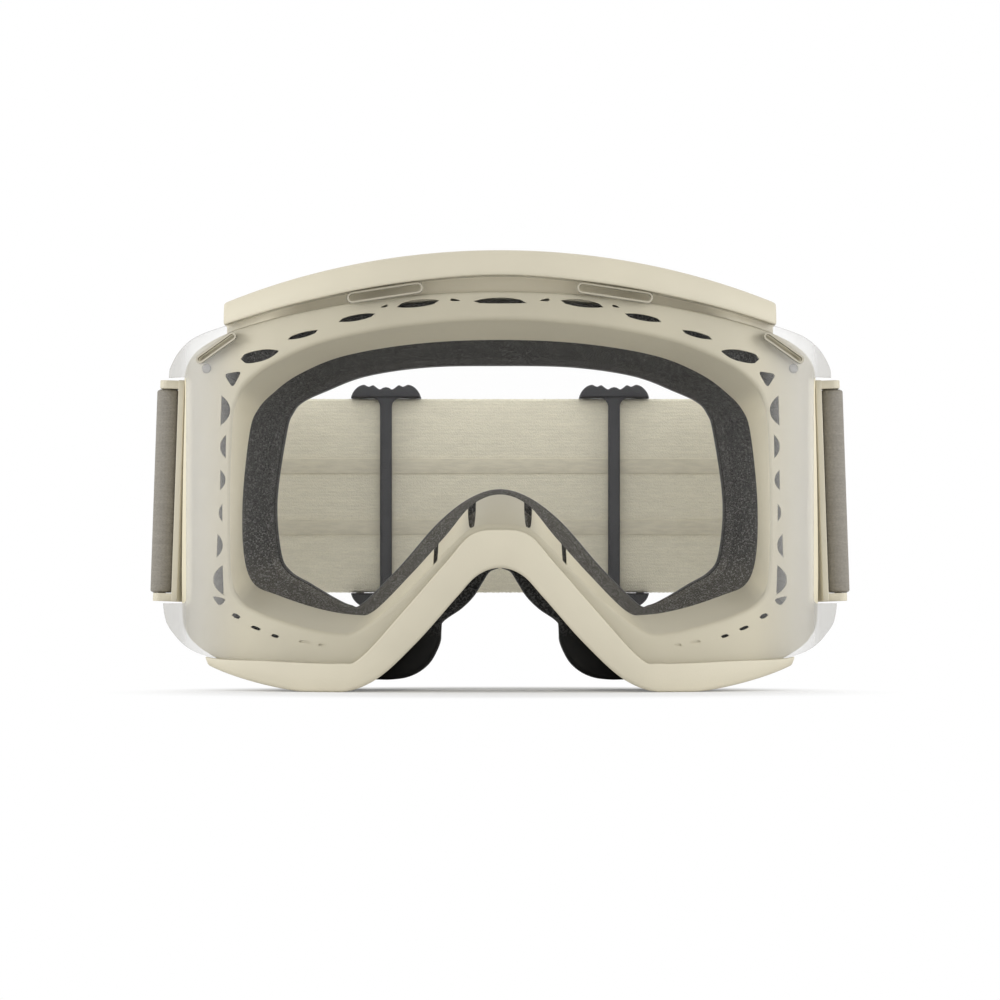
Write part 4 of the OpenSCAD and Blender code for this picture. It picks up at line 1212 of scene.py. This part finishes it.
def end_loop(steps=16):
    """The sewn strap end's centre line: along the strap, round the adjuster's outer bar and back on top."""
    x, y = ADJUSTER_X + OUTER_BAR_X, OUTER_BAR_Y + ADJUSTER_BAR_T / 2
    r = ADJUSTER_BAR_T / 2 + SLIDE_GAP / 2 + END_T / 2
    path = [(x + END_L * (1 - t), END_LINE, 0, 0) for t in np.linspace(0, 0.94, 8)]
    path += [(*turned(x, y, r, a), 0, 0) for a in np.linspace(180, END_TURN, steps)]
    low, off = END_LINE + END_T + END_GAP, y + r * math.cos(math.radians(END_TURN))
    path += [(x + 0.7 + 3.6 * t, off * (1 - ease(t)) + low * ease(t), 0, 0) for t in np.linspace(0, 1, 10)]
    return path + [(x + 4.3 + (END_L - 4.6) * t, low, 0, 0) for t in np.linspace(0.2, 1, 5)]


class GOGGLES_OT_strap_ends(bpy.types.Operator):
    """Builds the sewn strap ends on the adjusters and the webbing that joins them to the return layers"""

    bl_idname = "goggles.strap_ends"
    bl_label = "Strap Ends"

    def execute(self, context):
        x0, y0 = turned(BEND_X, BEND_Y, OUTER_BEND_R, RETURN_TURN)
        x1 = ADJUSTER_X + OUTER_BAR_X + END_L
        for side, word in SIDES:
            path = [(side * p[0], *p[1:]) for p in end_loop()]
            sections, uvs, _ = web_sections(path, END_T, STRAP_Z + END_NARROW, STRAP_TOP - END_NARROW)
            piece = new_piece(f"strap_end_{word}_webbing", *skin(sections), materials=[taupe_web()])
            web_uv(piece, uvs)
            dress(crease(piece, 60), f"{word}_strap_end", f"{word}_adjuster")
            sections, uvs = [], []
            for t in np.linspace(-0.02, 1.03, 22):
                share = clamped(t)
                x, y = x0 + (x1 - x0) * t, y0 + (END_LINE - y0) * share
                thick = STRAP_T - 0.06 + (END_T - STRAP_T) * share
                part, uv, _ = web_sections([(side * (x + 0.1), y, 0, 0), (side * (x - 0.1), y, 0, 0)], thick,
                                           STRAP_Z + 0.05 + END_NARROW * share, STRAP_TOP - 0.05 - END_NARROW * share)
                sections.append([(a + b) / 2 for a, b in zip(*part)])
                uvs.append([(x / 1000, v) for _, v in uv[0]])
            band = new_piece(f"return_band_{word}", *skin(sections), materials=[taupe_web()])
            web_uv(band, uvs)
            crease(band, 60)
            start, end = place((side * x0, y0, STRAP_MID)), place((side * x1, y0, STRAP_MID))
            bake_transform(band)
        return {"FINISHED"}


def path_tree(name, material):
    """A node tree that sets beads of thread at even steps along a polyline."""
    tree = bpy.data.node_groups.new(name, "GeometryNodeTree")
    face = tree.interface
    face.new_socket(name="Path", in_out="INPUT", socket_type="NodeSocketGeometry")
    for label in ("Pitch", "Length", "Radius", "Unevenness"):
        face.new_socket(name=label, in_out="INPUT", socket_type="NodeSocketFloat")
    face.new_socket(name="Thread", in_out="OUTPUT", socket_type="NodeSocketGeometry")

    add = Nodes(tree).add
    given = add("NodeGroupInput").outputs
    line = add("GeometryNodeMeshToCurve", None, {"Mesh": given["Path"]})
    points = add("GeometryNodeCurveToPoints", {"mode": "LENGTH"}, {"Curve": line.outputs[0], "Length": given["Pitch"]})
    bead = add("GeometryNodeMeshUVSphere", None, {"Segments": 6, "Rings": 5, "Radius": 1.0})
    half = add("ShaderNodeMath", {"operation": "MULTIPLY"}, {0: given["Length"], 1: 0.5})
    size = add("ShaderNodeCombineXYZ", None, {0: half.outputs[0], 1: given["Radius"], 2: given["Radius"]})
    shaped = add("GeometryNodeTransform", None, {"Geometry": bead.outputs[0], "Scale": size.outputs[0]})
    turn = add("FunctionNodeAlignRotationToVector", {"axis": "X"}, {"Vector": points.outputs["Tangent"]})
    spread = add("ShaderNodeMath", {"operation": "SUBTRACT"}, {0: 1.0, 1: given["Unevenness"]})
    uneven = add("FunctionNodeRandomValue", {"data_type": "FLOAT"}, {2: spread.outputs[0], 3: 1.0, "Seed": 7})
    copies = add("GeometryNodeInstanceOnPoints", None, {
        "Points": points.outputs[0], "Instance": shaped.outputs[0], "Rotation": turn.outputs[0],
        "Scale": uneven.outputs[1]})
    real = add("GeometryNodeRealizeInstances", None, {0: copies.outputs[0]})
    smooth = add("GeometryNodeSetShadeSmooth", None, {0: real.outputs[0]})
    painted = add("GeometryNodeSetMaterial", None, {"Geometry": smooth.outputs[0], "Material": material})
    add("NodeGroupOutput", None, {0: painted.outputs[0]})
    return tree


def thread_along(name, lines, material, pitch, length, radius, unevenness=0.15):
    """Beads of thread along polylines in millimetres, as a plain mesh."""
    vertices, edges = [], []
    for line in lines:
        base = len(vertices)
        vertices += [place(p) for p in line]
        edges += [(base + i, base + i + 1) for i in range(len(line) - 1)]
    mesh = bpy.data.meshes.new(name)
    mesh.from_pydata(vertices, edges, [])
    piece = linked(name, mesh)
    tool = piece.modifiers.new("thread", "NODES")
    tree = path_tree(name + "_thread", material)
    tool.node_group = tree
    values = {"Pitch": pitch, "Length": length, "Radius": radius, "Unevenness": unevenness}
    for item in tree.interface.items_tree:
        if item.name in values:
            tool[item.identifier] = values[item.name]
    plain_mesh(piece)
    bpy.data.node_groups.remove(tree)
    return piece


class GOGGLES_OT_stitching(bpy.types.Operator):
    """Sews the strap ends and sets the weft loops along the webbing's edges"""

    bl_idname = "goggles.stitching"
    bl_label = "Stitching"

    def execute(self, context):
        size = sizes()
        sewing = thread("sewing_thread", paint("taupe", 1.25))
        x, top = ADJUSTER_X + OUTER_BAR_X, END_LINE + 1.5 * END_T + END_GAP + STITCH_PROUD
        heights = STRAP_Z + STITCH_FROM_EDGE + (STRAP_W - 2 * STITCH_FROM_EDGE) * np.linspace(0, 1, 24)
        for side, word in SIDES:
            rows = [[(side * (x + dx), top, z) for z in heights] for dx in STITCH_ROWS]
            seam = thread_along(
                f"strap_end_{word}_stitches", rows, sewing, size.stitch_pitch, size.stitch_length, size.thread_radius)
            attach(seam, f"{word}_adjuster")
        whole = strap_line()
        start = next(i for i, p in enumerate(whole) if p[3])
        stop = len(whole) - start
        groups = {"cream": [], "taupe": []}
        for z in (STRAP_Z + LOOP_FROM_EDGE, STRAP_TOP - LOOP_FROM_EDGE):
            line = [(p[0] - lean(p, z), p[1], z) for p in whole]
            groups["cream"].append(line[start - 1:stop + 1])
            groups["taupe"] += [line[:start], line[stop:]]
        for word, lines in groups.items():
            yarn = thread(f"{word}_yarn", paint(word, 0.92))
            loops = thread_along(f"selvedge_{word}", lines, yarn, size.selvedge_pitch, *SELVEDGE_LOOP)
            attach(loops, "mask")
        return {"FINISHED"}


# Mouldings taken from the CAD nodes


def bevelled_copy(node, name, material, bevel):
    """A copy of a CAD node with its triangles merged, its edges bevelled and a finish."""
    piece = linked(name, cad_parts[node].data.copy())
    piece.data.name = name
    work = bmesh.new()
    work.from_mesh(piece.data)
    bmesh.ops.remove_doubles(work, verts=work.verts, dist=2e-6)
    bmesh.ops.dissolve_limit(work, angle_limit=math.radians(1.5), verts=work.verts, edges=work.edges)
    work.to_mesh(piece.data)
    work.free()
    tool = piece.modifiers.new("bevel", "BEVEL")
    tool.width, tool.segments, tool.limit_method, tool.angle_limit = bevel, 3, "ANGLE", math.radians(32)
    tool.use_clamp_overlap = True
    plain_mesh(piece)
    piece.data.materials.clear()
    piece.data.materials.append(material)
    return crease(piece, 35)


class GOGGLES_OT_outriggers(bpy.types.Operator):
    """Builds the two outriggers that carry the strap"""

    bl_idname = "goggles.outriggers"
    bl_label = "Outriggers"

    def execute(self, context):
        for word in ("left", "right"):
            piece = bevelled_copy(f"{word}_outrigger", f"outrigger_{word}_moulding", bone(), sizes().moulding_bevel)
            dress(piece, f"{word}_outrigger", "mask")
        return {"FINISHED"}


def head_half(up):
    """The right half of a ribbed head's outline, from its middle out to the strap's edge."""
    base = HEAD_HIGH if up > 0 else HEAD_LOW
    edge = [open_curve(HEAD_EDGE, s) for s in places(0, len(HEAD_EDGE) - 1, 4)]
    return [np.array([x, base + up * z]) for x, z in edge]


def adjuster_front():
    """The adjuster's front outline: two ribbed heads joined by the centre bar with rounded roots."""
    root = [(CENTRE_BAR_W / 2 + ROOT_R * (1 - math.sin(a)), ROOT_R * (1 - math.cos(a)))
            for a in np.linspace(0, math.pi / 2, 7)]
    right = head_half(1) + [np.array([x, HEAD_HIGH - z]) for x, z in root]
    right += [np.array([x, HEAD_LOW + z]) for x, z in reversed(root)] + head_half(-1)[::-1]
    return right + flipped(right[-2:0:-1])


def head_outline(up):
    """One head's outline through the adjuster's whole depth."""
    right = head_half(up)
    return right + flipped(right[-1:0:-1])


def doubled_area(ring):
    """Twice the signed area of a flat outline."""
    return sum(a[0] * b[1] - b[0] * a[1] for a, b in zip(ring, np.roll(ring, -1, axis=0)))


def soft_slab(outline, front, back, soft):
    """A slab between two depths whose front and back edges are rounded, all round its outline."""
    ring = np.array(outline)
    run = np.roll(ring, -1, axis=0) - np.roll(ring, 1, axis=0)
    inward = np.column_stack([run[:, 1], -run[:, 0]]) / np.linalg.norm(run, axis=1)[:, None]
    inward *= -1 if doubled_area(ring) > 0 else 1
    sections = []
    for base, way, turns in ((front, 1, (0, math.pi / 2)), (back, -1, (math.pi / 2, 0))):
        for t in np.linspace(*turns, 4):
            inset, depth = soft * (1 - math.sin(t)), soft * (1 - math.cos(t))
            sections.append([straight(p, base + way * depth) for p in ring + inward * inset])
    vertices, faces = loft(sections)
    last = (len(sections) - 1) * len(ring)
    cap = tessellate_polygon([[Vector((*p, 0)) for p in ring]])
    if sum(doubled_area([ring[i] for i in t]) for t in cap) * doubled_area(ring) < 0:
        cap = [t[::-1] for t in cap]
    return outward(vertices, faces[:-2] + [t[::-1] for t in cap] + [tuple(i + last for i in t) for t in cap])


def moved(surface, x, side):
    """A skin moved sideways and set on one side."""
    points, faces = surface
    return outward([np.array([side * (p[0] + x), p[1], p[2]]) for p in points], faces)


class GOGGLES_OT_adjusters(bpy.types.Operator):
    """Builds the two sliding strap adjusters with their ribbed finger edges"""

    bl_idname = "goggles.adjusters"
    bl_label = "Adjusters"

    def execute(self, context):
        material = moulded("charcoal_moulding", paint("charcoal"), roughness=0.4, variety=0.14, specular=0.5)
        back = STRAP_BACK - GLUE - GRIP_T - SLIDE_GAP
        front = back - ADJUSTER_BAR_T
        soft = sizes().moulding_bevel * 1300
        parts = [soft_slab(adjuster_front(), front, back, soft)]
        deep = OUTER_BAR_Y + ADJUSTER_BAR_T
        parts += [soft_slab(head_outline(up), front + HEAD_SET_BACK, deep, soft) for up in (1, -1)]
        for side in (-1, 1):
            rod = circle(side * OUTER_BAR_X, OUTER_BAR_Y + ADJUSTER_BAR_T / 2, ADJUSTER_BAR_T / 2)
            parts.append(skin([[np.array([*p, z]) for p in rod] for z in (HEAD_LOW - ROD_LAP, HEAD_HIGH + ROD_LAP)]))
        for side, word in SIDES:
            whole = joined(*[moved(part, ADJUSTER_X, side) for part in parts])
            name = f"{word}_adjuster"
            finished(f"adjuster_{word}_moulding", whole, material, name, name, 40)
        return {"FINISHED"}


# Studio

WHITE = (1, 1, 1, 1)
FLOOR_REACH = 9.0
# Softboxes: name, place, width and power; all of them aim at the same point
SOFTBOXES = (
    ("key_softbox", (0.0, -1.6, 0.3), 1.3, 3.5), ("left_softbox", (-1.4, -0.32, 0.2), 1.0, 11.0),
    ("right_softbox", (1.4, -0.32, 0.2), 1.0, 11.0), ("back_softbox", (0.0, 0.95, 1.0), 1.2, 1.5))
SOFTBOX_AIM = (0, 0, 0.05)
# The camera's place, sensor width and lens in millimetres, and upward shift
CAMERA_AT, SENSOR_W, FOCAL, SHIFT_Y = (0.0, -1.2618, 0.02406), 36.0, 181.8, 0.092


class GOGGLES_OT_stage(bpy.types.Operator):
    """Sets the floor, the soft light and the camera at the photograph's place"""

    bl_idname = "goggles.stage"
    bl_label = "Studio"

    def execute(self, context):
        scene = context.scene
        scene.view_settings.view_transform = "Standard"
        r = FLOOR_REACH
        floor_mesh = bpy.data.meshes.new("floor")
        floor_mesh.from_pydata([(-r, -r, 0), (r, -r, 0), (r, r, 0), (-r, r, 0)], [], [(0, 1, 2, 3)])
        floor = linked("floor", floor_mesh)
        floor_mesh.materials.append(self.floor_material(paint("floor")))
        world = bpy.data.worlds.new("studio")
        scene.world = world
        world.use_nodes = True
        sky = Nodes(world.node_tree)
        rays = sky.add("ShaderNodeLightPath")
        seen = sky.field(rays, "Is Camera Ray") + sky.field(rays, "Is Transmission Ray")
        seen = seen + sky.field(rays, "Is Glossy Ray")
        fill, white = (sky.add("ShaderNodeBackground", None, {"Color": WHITE, "Strength": s}) for s in (0.8, 1.0))
        both_skies = sky.add("ShaderNodeMixShader", None, {0: seen, 1: fill.outputs[0], 2: white.outputs[0]})
        sky.add("ShaderNodeOutputWorld", None, {0: both_skies.outputs[0]})
        for name, spot, width, power in SOFTBOXES:
            data = bpy.data.lights.new(name, "AREA")
            data.shape, data.size, data.energy = "SQUARE", width, power
            lamp = linked(name, data)
            lamp.location = spot
            lamp.rotation_euler = (Vector(SOFTBOX_AIM) - Vector(spot)).to_track_quat("-Z", "Y").to_euler()
        data = bpy.data.cameras.new("camera")
        data.sensor_width, data.lens, data.shift_y = SENSOR_W, FOCAL, SHIFT_Y
        data.clip_start, data.clip_end = 0.05, 50.0
        scene.camera = linked("camera", data)
        scene.camera.location = CAMERA_AT
        scene.camera.rotation_euler = (math.radians(90), 0, 0)
        return {"FINISHED"}

    @staticmethod
    def floor_material(colour):
        """A pale floor that reads white to the camera and still takes the object's shadow."""
        finish = Finish("floor")
        rays = finish.add("ShaderNodeLightPath")
        seen = finish.field(rays, "Is Camera Ray") + finish.field(rays, "Is Transmission Ray")
        finish.tree.nodes.remove(finish.shader)
        plain = finish.add("ShaderNodeBsdfDiffuse", None, {"Color": (*colour, 1.0)})
        white = finish.add("ShaderNodeEmission", None, {"Color": WHITE, "Strength": 1.0})
        x, y, _ = finish.split(finish.object_point())
        away = (x * x * 1.7 + (y + 0.05) * (y + 0.05) * 2.5) ** 0.5
        mixed = finish.add("ShaderNodeMixShader", None, {
            0: (away.between(0.07, 0.13) * 0.85 + 0.15) * seen, 1: plain.outputs[0], 2: white.outputs[0]})
        finish.feed(finish.out.inputs["Surface"], mixed.outputs[0])
        return finish.material


class GOGGLES_PT_panel(bpy.types.Panel):
    """Lists the goggles' operators and their sizes and colours"""

    bl_idname = "GOGGLES_PT_panel"
    bl_label = "Mountain Bike Goggles"
    bl_space_type = "VIEW_3D"
    bl_region_type = "UI"
    bl_category = "Goggles"

    def draw(self, context):
        layout = self.layout
        for step in STEPS:
            layout.operator(step.bl_idname)
        for group in (context.scene.goggles_sizes, context.scene.goggles_colours):
            box = layout.box()
            for name in group.__annotations__:
                box.prop(group, name)


STEPS = (GOGGLES_OT_frame, GOGGLES_OT_brow, GOGGLES_OT_rim, GOGGLES_OT_vent_foam, GOGGLES_OT_face_foam,
         GOGGLES_OT_nose_flaps, GOGGLES_OT_outriggers, GOGGLES_OT_strap, GOGGLES_OT_grips, GOGGLES_OT_strap_ends,
         GOGGLES_OT_stitching, GOGGLES_OT_adjusters, GOGGLES_OT_lens, GOGGLES_OT_lens_trim, GOGGLES_OT_stage)
CLASSES = (GogglesSizes, GogglesColours, *STEPS, GOGGLES_PT_panel)


def register():
    for cls in CLASSES:
        bpy.utils.register_class(cls)
    bpy.types.Scene.goggles_sizes = bpy.props.PointerProperty(type=GogglesSizes)
    bpy.types.Scene.goggles_colours = bpy.props.PointerProperty(type=GogglesColours)


def unregister():
    del bpy.types.Scene.goggles_colours
    del bpy.types.Scene.goggles_sizes
    for cls in reversed(CLASSES):
        bpy.utils.unregister_class(cls)


def main():
    register()
    bpy.ops.goggles.frame()
    bpy.ops.goggles.brow()
    bpy.ops.goggles.rim()
    bpy.ops.goggles.vent_foam()
    bpy.ops.goggles.face_foam()
    bpy.ops.goggles.nose_flaps()
    bpy.ops.goggles.outriggers()
    bpy.ops.goggles.strap()
    bpy.ops.goggles.grips()
    bpy.ops.goggles.strap_ends()
    bpy.ops.goggles.stitching()
    bpy.ops.goggles.adjusters()
    bpy.ops.goggles.lens()
    bpy.ops.goggles.lens_trim()
    bpy.ops.goggles.stage()


if __name__ == "__main__":
    main()
